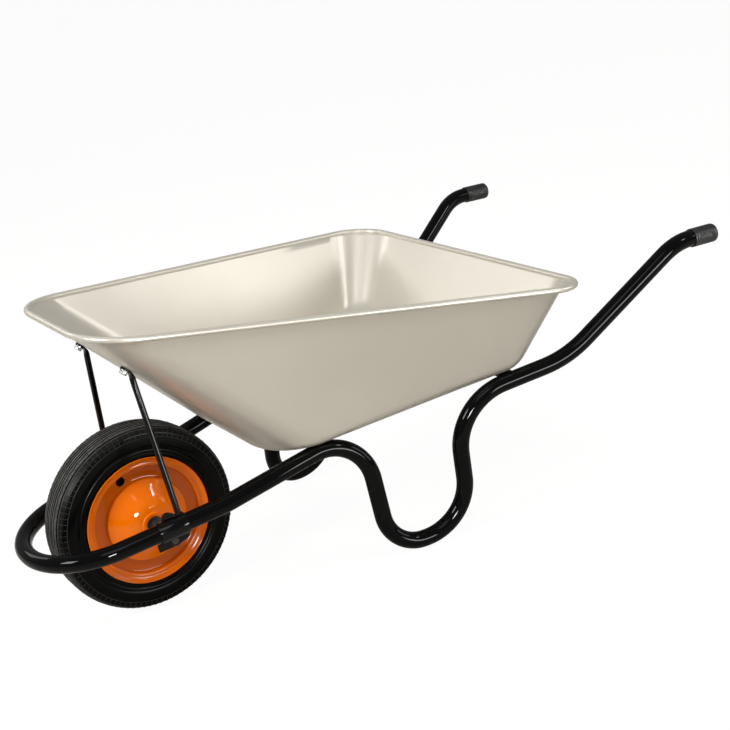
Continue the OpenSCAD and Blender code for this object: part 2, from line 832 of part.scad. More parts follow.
module ring(from, to, outer, inner) {
    translate([0, 0, from])
        difference() {
            cylinder(h = to - from, r = outer);
            translate([0, 0, -1])
                cylinder(h = to - from + 2, r = inner);
        }
}

module axle() {
    color("#55585c")
        on_axle() {
            translate([0, 0, -bracket_in])
                cylinder(h = 2 * bracket_in, r = axle_r);
            translate([0, 0, -axle_end])
                cylinder(h = 2 * axle_end, r = spigot_r);
        }
}

nut_half_w = washer_half_w + axle_washer_t;
spacer_in = collar_half_w + seat_gap + side_gap;

module axle_spacers() {
    color("#2a2a2c")
        on_axle()
            both_ends()
                ring(spacer_in, washer_half_w, spacer_d / 2, axle_r + hole_gap);
}

module axle_washers() {
    color("#d5d8da")
        on_axle()
            both_ends()
                ring(washer_half_w, nut_half_w, axle_washer_d / 2, axle_r + hole_gap);
}

module axle_nuts() {
    color("#d5d8da")
        on_axle()
            both_ends()
                translate([0, 0, nut_half_w])
                    difference() {
                        hexagon(axle_nut_af, axle_nut_t);
                        translate([0, 0, -1])
                            cylinder(h = axle_nut_t + 2, r = axle_r + hole_gap);
                    }
}

module axle_clips() {
    color("#c0c4c8")
        on_axle()
            both_ends()
                difference() {
                    ring(clip_in, clip_in + CLIP_T, clip_r, spigot_r + hole_gap / 2);
                    translate([-2 * clip_r, -CLIP_TOP - 2 * clip_r, clip_in - 1])
                        cube([4 * clip_r, 2 * clip_r, CLIP_T + 2]);
                }
}

// Wheel: profiles are [radius, distance from the middle], spun about the axle
tyre_half = tyre_w / 2;
shoulder_r = wheel_r - crown_drop;
bead_half = disc_half_w - seat_gap;
function crown(y) = wheel_r - crown_drop * pow(y / tyre_half, 4);
CROWN_STEPS = 10;

module tyre() {
    color("#17181a")
        on_axle()
            rotate_extrude()
                polygon(concat(
                    [for (j = [-CROWN_STEPS : CROWN_STEPS]) [
                        crown(j / CROWN_STEPS * (tyre_half - 1)), j / CROWN_STEPS * (tyre_half - 1)
                    ]],
                    [
                        [shoulder_r - 5, tyre_half],
                        [flange_r + 12, tyre_half],
                        [flange_r + 2, tyre_half - 1],
                        [band_r + seat_gap, disc_half_w - disc_t - seat_gap],
                        [band_r + seat_gap, -(disc_half_w - disc_t - seat_gap)],
                        [flange_r + 2, -(tyre_half - 1)],
                        [flange_r + 12, -tyre_half],
                        [shoulder_r - 5, -tyre_half]
                    ]
                ));
}

// The dome falls from the collar to the flat ring along a half wave.
DOME_STEPS = 10;
DISC_HEM = 1;
band_half = disc_half_w + DISC_HEM - disc_t - seat_gap;
neck_r = collar_r + 1;
function dome_y(t) = disc_half_w + (collar_half_w - 4 - disc_half_w) * (1 + cos(180 * t)) / 2;
function dome_at(t) = [mix(neck_r, dome_r, t), dome_y(t)];
flange_out = tyre_half + 1.5;
disc_face = concat(
    [[hub_r + seat_gap, collar_half_w], [collar_r - 2, collar_half_w], [collar_r, collar_half_w - 1.5]],
    [for (j = [0 : DOME_STEPS]) dome_at(j / DOME_STEPS)],
    [
        [band_r - 6, disc_half_w],
        [band_r - 3, disc_half_w + DISC_HEM],
        [band_r, disc_half_w + DISC_HEM],
        [flange_r - 3, flange_out - 1],
        [flange_r, flange_out]
    ]
);

module disc() {
    last = len(disc_face) - 1;
    rotate_extrude()
        polygon(concat(disc_face, [for (j = [last : -1 : 0]) disc_face[j] - [0, disc_t]]));
}

module rim_disc_right() {
    color("#f07a10")
        on_axle()
            disc();
}

module rim_disc_left() {
    color("#e87010")
        on_axle()
            difference() {
                mirror([0, 0, 1])
                    disc();
                rotate([0, 0, -90 - valve_angle])
                    translate([(dome_r + band_r) / 2 + valve_hole_d / 2, 0, -disc_half_w - 1])
                        cylinder(h = disc_t + 2, r = valve_hole_d / 2);
            }
}

module rim_band() {
    color("#d86810")
        on_axle()
            ring(-band_half, band_half, band_r, band_r - disc_t);
}

bush_r = hub_r - hub_wall - run_gap;
flange_top = collar_half_w + seat_gap;

module hub_tube() {
    color("#c86010")
        on_axle()
            ring(-(flange_top - bush_flange_t - run_gap), flange_top - bush_flange_t - run_gap, hub_r, hub_r - hub_wall);
}

module hub_bushes() {
    color("#e0e0d8")
        on_axle()
            both_ends()
                difference() {
                    union() {
                        ring(flange_top - bush_flange_t, flange_top, hub_r - run_gap, axle_r + run_gap);
                        ring(flange_top - bush_flange_t - bush_len, flange_top - bush_flange_t + 0.5, bush_r, axle_r + run_gap);
                    }
                    cylinder(h = 2 * collar_half_w, r = axle_r + run_gap);
                }
}

tray();
frame_loop();
frame_side_left();
frame_side_right();
stay_left();
stay_right();
stay_bolts();
stay_washers();
stay_nuts();
cross_strap_front();
cross_strap_rear();
tray_bolts();
tray_washers();
tray_nuts();
axle_bracket_left();
axle_bracket_right();
axle();
axle_spacers();
axle_washers();
axle_nuts();
axle_clips();
tyre();
rim_disc_left();
rim_disc_right();
rim_band();
hub_tube();
hub_bushes();
grip_left();
grip_right();
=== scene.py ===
import logging
import math
from dataclasses import dataclass
from enum import Enum
from typing import Callable, Iterable, Optional, Sequence, Union

import bmesh
import bpy
from mathutils import Matrix, Vector


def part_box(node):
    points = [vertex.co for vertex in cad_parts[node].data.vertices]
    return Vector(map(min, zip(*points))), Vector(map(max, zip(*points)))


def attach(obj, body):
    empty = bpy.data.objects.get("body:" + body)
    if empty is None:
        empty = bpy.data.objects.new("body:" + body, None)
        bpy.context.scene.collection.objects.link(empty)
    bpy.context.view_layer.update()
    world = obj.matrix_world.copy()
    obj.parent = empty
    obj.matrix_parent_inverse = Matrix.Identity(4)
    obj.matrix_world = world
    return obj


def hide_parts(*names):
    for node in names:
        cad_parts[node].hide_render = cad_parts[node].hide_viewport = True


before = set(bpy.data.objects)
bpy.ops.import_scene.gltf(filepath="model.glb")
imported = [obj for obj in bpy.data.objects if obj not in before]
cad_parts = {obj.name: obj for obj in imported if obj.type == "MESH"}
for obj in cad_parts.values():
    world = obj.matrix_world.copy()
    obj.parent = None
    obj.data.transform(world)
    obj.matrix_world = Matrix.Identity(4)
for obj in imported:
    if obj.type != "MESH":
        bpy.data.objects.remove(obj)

log = logging.getLogger("wheelbarrow")
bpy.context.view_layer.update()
MM = 0.001
MERGE_WITHIN = 1e-6
Colour = tuple[float, float, float]
Ring = Sequence[Vector]
Profile = Sequence[tuple[float, float]]

# Sizes that several pieces share, in millimetres

GAP = 0.3
WHEEL_R = 165.0
AXLE_R = 6.4
SPIGOT_R = 5.0
BRACKET_T = 3.0
STAY_FOOT_X = 16.0
STAY_BOLT_DROP = 15.0


class Body(Enum):
    """The bodies that pieces ride on."""

    BARROW = "barrow"
    WHEEL = "wheel"


class Element(Enum):
    """What a selection in edit mode is made of."""

    VERT = "VERT"
    FACE = "FACE"


def mm(x: float, y: float, z: float) -> Vector:
    """A point given in millimetres, in metres."""
    return Vector((x, y, z)) * MM


def lift(z: float) -> Matrix:
    """A shift along Z, in millimetres."""
    return Matrix.Translation((0, 0, z * MM))


def mix(a: float, b: float, t: float) -> float:
    """The value a share t of the way from a to b."""
    return a + (b - a) * t


def curve(start: Vector, corner: Vector, end: Vector, t: float) -> Vector:
    """The point at a share t of a curve that leaves start and reaches end towards the corner."""
    return start * (1 - t) ** 2 + corner * 2 * t * (1 - t) + end * t * t


# Work at the bench: selection, edit mode and finishing


class Bench:
    """Selection and mode changes that every piece needs."""

    @staticmethod
    def clear() -> None:
        """Leaves edit mode and deselects everything."""
        if bpy.context.object and bpy.context.object.mode != "OBJECT":
            bpy.ops.object.mode_set(mode="OBJECT")
        bpy.ops.object.select_all(action="DESELECT")

    @staticmethod
    def take(obj: bpy.types.Object) -> None:
        """Makes one object the only selected and the active one.

        Args:
            obj: The object to work on.
        """
        Bench.clear()
        obj.select_set(True)
        bpy.context.view_layer.objects.active = obj

    @staticmethod
    def edit(obj: bpy.types.Object) -> None:
        """Opens an object in edit mode, by vertices, with everything selected.

        Args:
            obj: The object to open.
        """
        Bench.take(obj)
        bpy.ops.object.mode_set(mode="EDIT")
        bpy.ops.mesh.select_mode(type="VERT")
        bpy.ops.mesh.select_all(action="SELECT")

    @staticmethod
    def close() -> None:
        """Goes back to object mode."""
        bpy.ops.object.mode_set(mode="OBJECT")

    @staticmethod
    def pick(obj: bpy.types.Object, element: Element, wanted: Callable[[Vector], bool]) -> None:
        """Selects the vertices or faces whose place passes a test, in edit mode.

        Args:
            obj: The object in edit mode.
            element: What is selected.
            wanted: The test on a vertex's place or a face's middle.
        """
        bpy.ops.mesh.select_mode(type=element.value)
        bpy.ops.mesh.select_all(action="DESELECT")
        shape = bmesh.from_edit_mesh(obj.data)
        if element is Element.FACE:
            places = [(face, face.calc_center_median()) for face in shape.faces]
        else:
            places = [(vert, vert.co) for vert in shape.verts]
        for item, place in places:
            if wanted(place):
                item.select_set(True)
        shape.select_flush_mode()
        bmesh.update_edit_mesh(obj.data)

    @staticmethod
    def outwards(obj: bpy.types.Object) -> None:
        """Merges doubles and turns all faces outwards.

        Args:
            obj: The object, in either mode.
        """
        Bench.edit(obj)
        bpy.ops.mesh.remove_doubles(threshold=MERGE_WITHIN)
        bpy.ops.mesh.normals_make_consistent(inside=False)
        Bench.close()

    @staticmethod
    def modify(obj: bpy.types.Object, kind: str, **settings: object) -> None:
        """Adds a modifier and applies it.

        Args:
            obj: The object to change.
            kind: The modifier's type.
            **settings: Its settings.
        """
        Bench.take(obj)
        modifier = obj.modifiers.new(kind.title(), kind)
        for key, value in settings.items():
            setattr(modifier, key, value)
        bpy.ops.object.modifier_apply(modifier=modifier.name)

    @staticmethod
    def soften(obj: bpy.types.Object, width: float, segments: int = 2, angle: float = 40) -> None:
        """Rounds the edges sharper than an angle in degrees, to a width in millimetres."""
        Bench.modify(
            obj, "BEVEL", width=width * MM, segments=segments,
            limit_method="ANGLE", angle_limit=math.radians(angle),
        )

    @staticmethod
    def place(obj: bpy.types.Object, matrix: Matrix) -> None:
        """Moves an object's mesh by a matrix and leaves the object at the origin.

        Args:
            obj: The object to place.
            matrix: Where its mesh goes.
        """
        Bench.take(obj)
        obj.matrix_world = matrix @ obj.matrix_world
        bpy.ops.object.transform_apply(location=True, rotation=True, scale=True)

    @staticmethod
    def copy(obj: bpy.types.Object, matrix: Matrix) -> bpy.types.Object:
        """Copies an object with a mesh of its own and places the copy.

        Args:
            obj: The object to copy.
            matrix: Where the copy's mesh goes.

        Returns:
            The copy.
        """
        Bench.take(obj)
        bpy.ops.object.duplicate(linked=False)
        twin = bpy.context.object
        Bench.place(twin, matrix)
        if matrix.determinant() < 0:
            Bench.edit(twin)
            bpy.ops.mesh.flip_normals()
            Bench.close()
        return twin

    @staticmethod
    def join(parts: Sequence[bpy.types.Object]) -> bpy.types.Object:
        """Joins objects into the first one.

        Args:
            parts: The objects to join.

        Returns:
            The joined object.
        """
        Bench.clear()
        for part in parts:
            part.select_set(True)
        bpy.context.view_layer.objects.active = parts[0]
        bpy.ops.object.join()
        return parts[0]

    @staticmethod
    def cylinder(radius: float, depth: float, faces: int, at: Matrix) -> bpy.types.Object:
        """A cylinder, sized in millimetres.

        Args:
            radius: Its radius.
            depth: Its length along its own Z axis.
            faces: Faces round it.
            at: Where its middle goes.

        Returns:
            The cylinder.
        """
        Bench.clear()
        bpy.ops.mesh.primitive_cylinder_add(vertices=faces, radius=radius * MM, depth=depth * MM)
        obj = bpy.context.object
        Bench.place(obj, at)
        return obj

    @staticmethod
    def carve(obj: bpy.types.Object, tool: bpy.types.Object, operation: str = "DIFFERENCE") -> None:
        """Cuts or bounds one object with another one, which is used up."""
        Bench.modify(obj, "BOOLEAN", object=tool, operation=operation, solver="EXACT")
        bpy.data.objects.remove(tool)


MIRROR = Matrix.Diagonal((1, -1, 1, 1))
FLIP = Matrix.Diagonal((1, 1, -1, 1))


def axes_at(x_axis: Vector, y_axis: Vector, z_axis: Vector, at: Vector) -> Matrix:
    """The matrix of a frame with these axes at this place."""
    turn = Matrix((x_axis.normalized(), y_axis.normalized(), z_axis.normalized())).transposed()
    return Matrix.Translation(at) @ turn.to_4x4()


def along(start: Vector, end: Vector) -> Matrix:
    """The matrix of a frame whose Z axis points from one place to another.

    Args:
        start: Where the frame stands.
        end: The place it points to.

    Returns:
        The frame's matrix.
    """
    z_axis = (end - start).normalized()
    up = Vector((0, 0, 1)) if abs(z_axis.z) < 0.9 else Vector((1, 0, 0))
    x_axis = up.cross(z_axis).normalized()
    return axes_at(x_axis, z_axis.cross(x_axis), z_axis, start)


class Loft:
    """A closed ring of vertices that is extruded from place to place in edit mode."""

    def __init__(self, name: str, first: Ring) -> None:
        """Starts from a circle with one vertex per point.

        Args:
            name: The object's name.
            first: Where the first ring's vertices go.
        """
        Bench.clear()
        bpy.ops.mesh.primitive_circle_add(vertices=len(first), radius=1, fill_type="NOTHING")
        self.obj = bpy.context.object
        self.obj.name = name
        Bench.edit(self.obj)
        shape = bmesh.from_edit_mesh(self.obj.data)
        shape.verts.ensure_lookup_table()
        self.order = [vert.index for vert in shape.verts]
        self._set(first)

    def _set(self, ring: Ring) -> None:
        """Moves the current ring's vertices to new places.

        Args:
            ring: The new places, in the ring's order.
        """
        shape = bmesh.from_edit_mesh(self.obj.data)
        shape.verts.ensure_lookup_table()
        for index, point in zip(self.order, ring):
            shape.verts[index].co = point
        bmesh.update_edit_mesh(self.obj.data)

    def to(self, ring: Ring) -> None:
        """Extrudes the current ring and moves the new one to its place.

        Args:
            ring: Where the new ring's vertices go, in the same order.
        """
        bpy.ops.mesh.extrude_region_move()
        shape = bmesh.from_edit_mesh(self.obj.data)
        shape.verts.index_update()
        shape.verts.ensure_lookup_table()
        old = set(self.order)
        fresh = {}
        for before in self.order:
            for link in shape.verts[before].link_edges:
                other = link.other_vert(shape.verts[before])
                if other.select and other.index not in old:
                    fresh[before] = other.index
        self.order = [fresh[index] for index in self.order]
        self._set(ring)

    def done(self) -> bpy.types.Object:
        """Closes every open ring and turns the faces outwards.

        Returns:
            The finished object.
        """
        bpy.ops.mesh.select_all(action="SELECT")
        bpy.ops.mesh.fill_holes(sides=0)
        Bench.close()
        Bench.outwards(self.obj)
        return self.obj


def wire(name: str, points: Ring) -> bpy.types.Object:
    """A line of edges through points, left in edit mode with everything selected.

    Args:
        name: The object's name.
        points: The points, in metres.

    Returns:
        The object.
    """
    Bench.clear()
    bpy.ops.mesh.primitive_plane_add(size=MM, location=points[0])
    obj = bpy.context.object
    obj.name = name
    Bench.place(obj, Matrix.Identity(4))
    Bench.edit(obj)
    bpy.ops.mesh.merge(type="CENTER")
    for start, end in zip(points, points[1:]):
        bpy.ops.mesh.extrude_region_move(TRANSFORM_OT_translate={"value": end - start})
    bpy.ops.mesh.select_all(action="SELECT")
    return obj


def lathe(name: str, profile: Profile, steps: int) -> bpy.types.Object:
    """Spins a closed profile round the Z axis.

    Args:
        name: The object's name.
        profile: The profile's points in order, as (radius, distance along the axis) in millimetres.
        steps: Faces round the axis.

    Returns:
        The turned piece, with its axis on Z at the origin.
    """
    points = [mm(r, 0, z) for r, z in profile]
    obj = wire(name, points + points[:1])
    bpy.ops.mesh.remove_doubles(threshold=MERGE_WITHIN / 10)
    bpy.ops.mesh.select_all(action="SELECT")
    bpy.ops.mesh.spin(steps=steps, angle=math.tau, center=(0, 0, 0), axis=(0, 0, 1), use_auto_merge=True)
    Bench.outwards(obj)
    return obj


def plate(name: str, outline: Profile, thickness: float) -> bpy.types.Object:
    """A flat plate centred on the XY plane.

    Args:
        name: The object's name.
        outline: Its corners, in millimetres.
        thickness: Its thickness, in millimetres.

    Returns:
        The plate.
    """
    low, high = ([mm(x, y, side * thickness / 2) for x, y in outline] for side in (-1, 1))
    loft = Loft(name, low)
    loft.to(high)
    return loft.done()


# Materials

FINISHED = "_finish"
Socket = bpy.types.NodeSocket
Value = Union[Socket, float, Colour]


class Nodes:
    """A node tree that is filled from code."""

    def __init__(self, tree: bpy.types.NodeTree) -> None:
        """Takes the tree to fill."""
        self.tree = tree

    def add(
        self, kind: str, inputs: dict[Union[int, str], Value], output: Union[int, str] = 0, **settings: str,
    ) -> Socket:
        """Adds a node, sets it up and links its inputs.

        Args:
            kind: The node's type, without its prefix.
            inputs: Socket name or number to a value or another node's output.
            output: The output that is handed back.
            **settings: The node's properties, set before its sockets.

        Returns:
            The chosen output.
        """
        made = self.tree.nodes.new("ShaderNode" + kind)
        for key, setting in settings.items():
            setattr(made, key, setting)
        for key, value in inputs.items():
            self.feed(made.inputs[key], value)
        return made.outputs[output]

    def feed(self, socket: Socket, value: Value) -> None:
        """Links an output to a socket, or sets the socket's own value.

        Args:
            socket: The input to fill.
            value: What goes in.
        """
        if isinstance(value, Socket):
            self.tree.links.new(value, socket)
        elif isinstance(value, tuple):
            socket.default_value = (*value, 1)
        else:
            socket.default_value = value

    def maths(self, operation: str, a: Value, b: Value) -> Socket:
        """One Math node on two values."""
        return self.add("Math", {0: a, 1: b}, operation=operation)

    def ray(self, kind: str) -> Socket:
        """Whether the ray is of this kind."""
        return self.add("LightPath", {}, f"Is {kind} Ray")

    def spread(self, value: Socket, low: float, high: float, to_low: float, to_high: float) -> Socket:
        """Maps a value's range to another, clamped."""
        return self.add("MapRange", {0: value, 1: low, 2: high, 3: to_low, 4: to_high})


class Paint(Nodes):
    """One material and its node tree."""

    def __init__(self, name: str) -> None:
        """Starts a material with one plain shader.

        Args:
            name: The material's name.
        """
        self.material = bpy.data.materials.new(name + FINISHED)
        self.material.use_nodes = True
        super().__init__(self.material.node_tree)
        self.shader = self.tree.nodes["Principled BSDF"]

    def set(self, **values: Value) -> bpy.types.Material:
        """Sets or links the main shader's sockets.

        Args:
            **values: What goes in each socket, named with underscores.

        Returns:
            The material.
        """
        for key, value in values.items():
            self.feed(self.shader.inputs[key.replace("_", " ")], value)
        return self.material

    def about(self, noise: Socket, middle: float, swing: float) -> Socket:
        """A value that noise moves up and down about its middle."""
        return self.spread(noise, 0.3, 0.7, middle - swing, middle + swing)

    def place(self) -> Socket:
        """The point's place on the object."""
        return self.add("TexCoord", {}, "Object")

    def tone(self) -> Socket:
        """The value of the piece's own tone attribute."""
        return self.add("Attribute", {}, "Fac", attribute_name="tone")

    def noise(self, scale: float, detail: float = 2, rough: float = 0.5) -> Socket:
        """Soft noise from 0 to 1, with this many lumps in a metre."""
        inputs = {"Vector": self.place(), "Scale": scale, "Detail": detail, "Roughness": rough}
        return self.add("TexNoise", inputs)

    def blend(self, share: Value, a: Value, b: Value) -> Socket:
        """The colour a share of the way from a to b."""
        return self.add("Mix", {0: share, 6: a, 7: b}, 2, data_type="RGBA")

    def bump(self, height: Socket, depth: float, strength: float = 1.0) -> Socket:
        """A normal from a height, where 1 stands for a depth in millimetres."""
        return self.add("Bump", {"Strength": strength, "Distance": depth * MM, "Height": height})


@dataclass(frozen=True)
class Enamel:
    """Sprayed or dipped gloss paint; where a deep colour is set, it is painted shade that darkens the paint
    as the piece's tone attribute asks.
    """

    name: str
    colour: Colour
    shade: Colour
    roughness: float
    peel: float
    level: float = 0.2
    # deep is the colour of painted shade, which the tone attribute blends in.
    deep: Optional[Colour] = None

    def make(self) -> bpy.types.Material:
        """Builds the material.

        Returns:
            The material.
        """
        paint = Paint(self.name)
        broad = paint.noise(9, 3)
        coat = paint.blend(paint.spread(broad, 0.3, 0.7, 0, 1), self.colour, self.shade)
        return paint.set(
            # Painted shade: the tone attribute blends the deep colour into the paint.
            Base_Color=paint.blend(paint.tone(), coat, self.deep) if self.deep else coat,
            Roughness=paint.spread(broad, 0.3, 0.7, self.roughness * 0.85, self.roughness * 1.2),
            Specular_IOR_Level=self.level,
            Normal=paint.bump(paint.noise(420, 2, 0.45), self.peel),
        )


@dataclass(frozen=True)
class TraySilver:
    """Champagne silver enamel with fine metal flake over pressed sheet."""

    name: str = "tray_silver"
    colour: Colour = (0.60, 0.560, 0.484)
    shade: Colour = (0.56, 0.520, 0.444)
    flake: Colour = (0.86, 0.84, 0.78)
    flake_share: float = 0.18
    flake_depth: float = 0.012
    roughness: float = 0.36
    uneven: float = 0.008
    metallic: float = 0.5
    coat: float = 0.3
    coat_roughness: float = 0.40

    def make(self) -> bpy.types.Material:
        """Builds the material.

        Returns:
            The material.
        """
        paint = Paint(self.name)
        broad, fine, flakes = paint.noise(5, 3), paint.noise(60, 3), paint.noise(2600, 1)
        tone = paint.blend(paint.spread(broad, 0.3, 0.7, 0, 1), self.colour, self.shade)
        sparkle = paint.maths("MULTIPLY", paint.spread(flakes, 0.35, 0.65, 0, 1), self.flake_share)
        return paint.set(
            Base_Color=paint.blend(sparkle, tone, self.flake),
            Roughness=paint.about(fine, self.roughness, self.uneven),
            Metallic=self.metallic,
            Coat_Weight=self.coat,
            Coat_Roughness=self.coat_roughness,
            Normal=paint.bump(flakes, self.flake_depth, 0.5),
        )


@dataclass(frozen=True)
class Rubber:
    """Tyre rubber, greyer and rougher where the piece's tone attribute is high, on the rib tops and raised
    lines.
    """

    name: str = "tyre_rubber"
    colour: Colour = (0.0006, 0.0006, 0.0006)
    worn: Colour = (0.105, 0.103, 0.097)
    roughness: float = 0.24
    paler_roughness: float = 0.5
    level: float = 0.08

    def make(self) -> bpy.types.Material:
        """Builds the material, which reads the piece's own tone attribute.

        Returns:
            The material.
        """
        paint = Paint(self.name)
        tone = paint.tone()
        patchy = paint.spread(paint.noise(38, 4, 0.6), 0.3, 0.7, 0.55, 1.0)
        return paint.set(
            Base_Color=paint.blend(paint.maths("MULTIPLY", tone, patchy), self.colour, self.worn),
            Roughness=paint.spread(tone, 0, 0.6, self.roughness, self.paler_roughness),
            Specular_IOR_Level=self.level,
            Normal=paint.bump(paint.noise(900, 3, 0.6), 0.05, 0.6),
        )


@dataclass(frozen=True)
class Zinc:
    """Plated or bare steel with a faint cloud."""

    name: str = "zinc_plate"
    colour: Colour = (0.40, 0.405, 0.415)
    shade: Colour = (0.30, 0.295, 0.28)
    roughness: float = 0.24
    uneven: float = 0.14

    def make(self) -> bpy.types.Material:
        """Builds the material.

        Returns:
            The material.
        """
        paint = Paint(self.name)
        cloud = paint.noise(160, 4, 0.6)
        return paint.set(
            Base_Color=paint.blend(paint.spread(cloud, 0.35, 0.65, 0, 1), self.colour, self.shade),
            Roughness=paint.spread(cloud, 0.3, 0.7, self.roughness, self.roughness + self.uneven),
            Metallic=1.0,
            Normal=paint.bump(paint.noise(1500), 0.01, 0.5),
        )


@dataclass(frozen=True)
class Moulded:
    """Moulded plastic or vinyl with a fine leathery grain."""

    name: str
    colour: Colour
    worn: Colour
    roughness: float
    grain: float = 0.03
    uneven: float = 0.06

    def make(self) -> bpy.types.Material:
        """Builds the material.

        Returns:
            The material.
        """
        paint = Paint(self.name)
        cell = paint.add("TexVoronoi", {"Vector": paint.place(), "Scale": 900}, feature="SMOOTH_F1")
        cloud = paint.noise(70, 4, 0.6)
        return paint.set(
            Base_Color=paint.blend(paint.spread(cloud, 0.35, 0.7, 0, 1), self.colour, self.worn),
            Roughness=paint.about(cloud, self.roughness, self.uneven),
            Normal=paint.bump(cell, self.grain, 0.5),
        )


class Finish(Enum):
    """The finishes used on the barrow."""

    TRAY = TraySilver()
    FRAME = Enamel("frame_black", (0.0015, 0.0015, 0.0018), (0.0025, 0.0025, 0.0025), 0.03, 0.0, level=0.11)
    STAY = Enamel("stay_black", (0.002, 0.002, 0.002), (0.003, 0.003, 0.003), 0.10, 0.01)
    BRACKET = Enamel("bracket_black", (0.0012, 0.0012, 0.0012), (0.0025, 0.0025, 0.0025), 0.10, 0.02)
    STRAP = Enamel("strap_black", (0.003, 0.003, 0.003), (0.006, 0.006, 0.006), 0.28, 0.03)
    # The rim's deep colour is painted shade, which its tone attribute lays into the pit of the pressing,
    # onto the collar and partly onto the lip.
    RIM = Enamel(
        "rim_orange", (0.92, 0.178, 0.001), (0.86, 0.160, 0.001), 0.05, 0.003,
        level=0.24, deep=(0.60, 0.106, 0.001),
    )
    RUBBER = Rubber()
    ZINC = Zinc()
    STEEL = Zinc("axle_steel", (0.06, 0.06, 0.062), (0.04, 0.04, 0.04), 0.25)
    CLIP = Zinc("clip_steel", (0.10, 0.10, 0.105), (0.07, 0.07, 0.07), 0.18)
    BUSH = Moulded("bush_black", (0.012, 0.012, 0.013), (0.022, 0.022, 0.022), 0.5)
    GRIP = Moulded("grip_vinyl", (0.007, 0.007, 0.0075), (0.014, 0.014, 0.014), 0.40)

    def material(self) -> bpy.types.Material:
        """The finish's material, built once."""
        return bpy.data.materials.get(self.value.name + FINISHED) or self.value.make()


@dataclass(frozen=True)
class Label:
    """What a piece is called, which solids it stands for, and how it is painted and carried."""

    name: str
    nodes: tuple[str, ...]
    slot: str
    finish: Finish
    smooth: float = 30
    body: Body = Body.BARROW

    def put_on(self, obj: bpy.types.Object, side: str = "") -> None:
        """Names, smooths and paints a piece and lets it ride on its body.

        Args:
            obj: The piece, with its place in its mesh.
            side: What its name and its solids' names end with.
        """
        Bench.take(obj)
        bpy.ops.object.shade_smooth_by_angle(angle=math.radians(self.smooth), keep_sharp_edges=False)
        obj.name = self.name + side
        obj.data.materials.clear()
        obj.data.materials.append(self.finish.material())
        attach(obj, self.body.value)
        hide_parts(*(node + side for node in self.nodes))
        log.info("%s: %d faces on %s", obj.name, len(obj.data.polygons), self.body.value)

    def on_sides(self, right: bpy.types.Object) -> None:
        """Labels a right piece and its mirrored copy."""
        left = Bench.copy(right, MIRROR)
        self.put_on(right, "_right")
        self.put_on(left, "_left")

    def on_ends(self, piece: bpy.types.Object) -> None:
        """Copies a piece to the axle's other end and labels the two as one.

        Args:
            piece: The piece, standing on the Z axis as if that were the axle.
        """
        pair = Bench.join([piece, Bench.copy(piece, FLIP)])
        Bench.outwards(pair)
        Bench.place(pair, ON_AXLE)
        self.put_on(pair)


def dress(nodes: Iterable[str], finish: Finish) -> None:
    """Gives carried-over solids a finish.

    Args:
        nodes: Names of the solids.
        finish: Their material.
    """
    for name in nodes:
        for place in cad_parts[name].material_slots:
            place.material = finish.material()
        log.info("%s: carried over", name)


AXLE = sum((Vector(corner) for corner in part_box("axle")), Vector()) / 2
ON_AXLE = Matrix.Translation(AXLE) @ Matrix.Rotation(math.radians(-90), 4, "X")


def station(x: float, y: float, z: float) -> Vector:
    """A point given in millimetres from the axle's place along the barrow."""
    return Vector((AXLE.x, 0, 0)) + mm(x, y, z)


# The tray


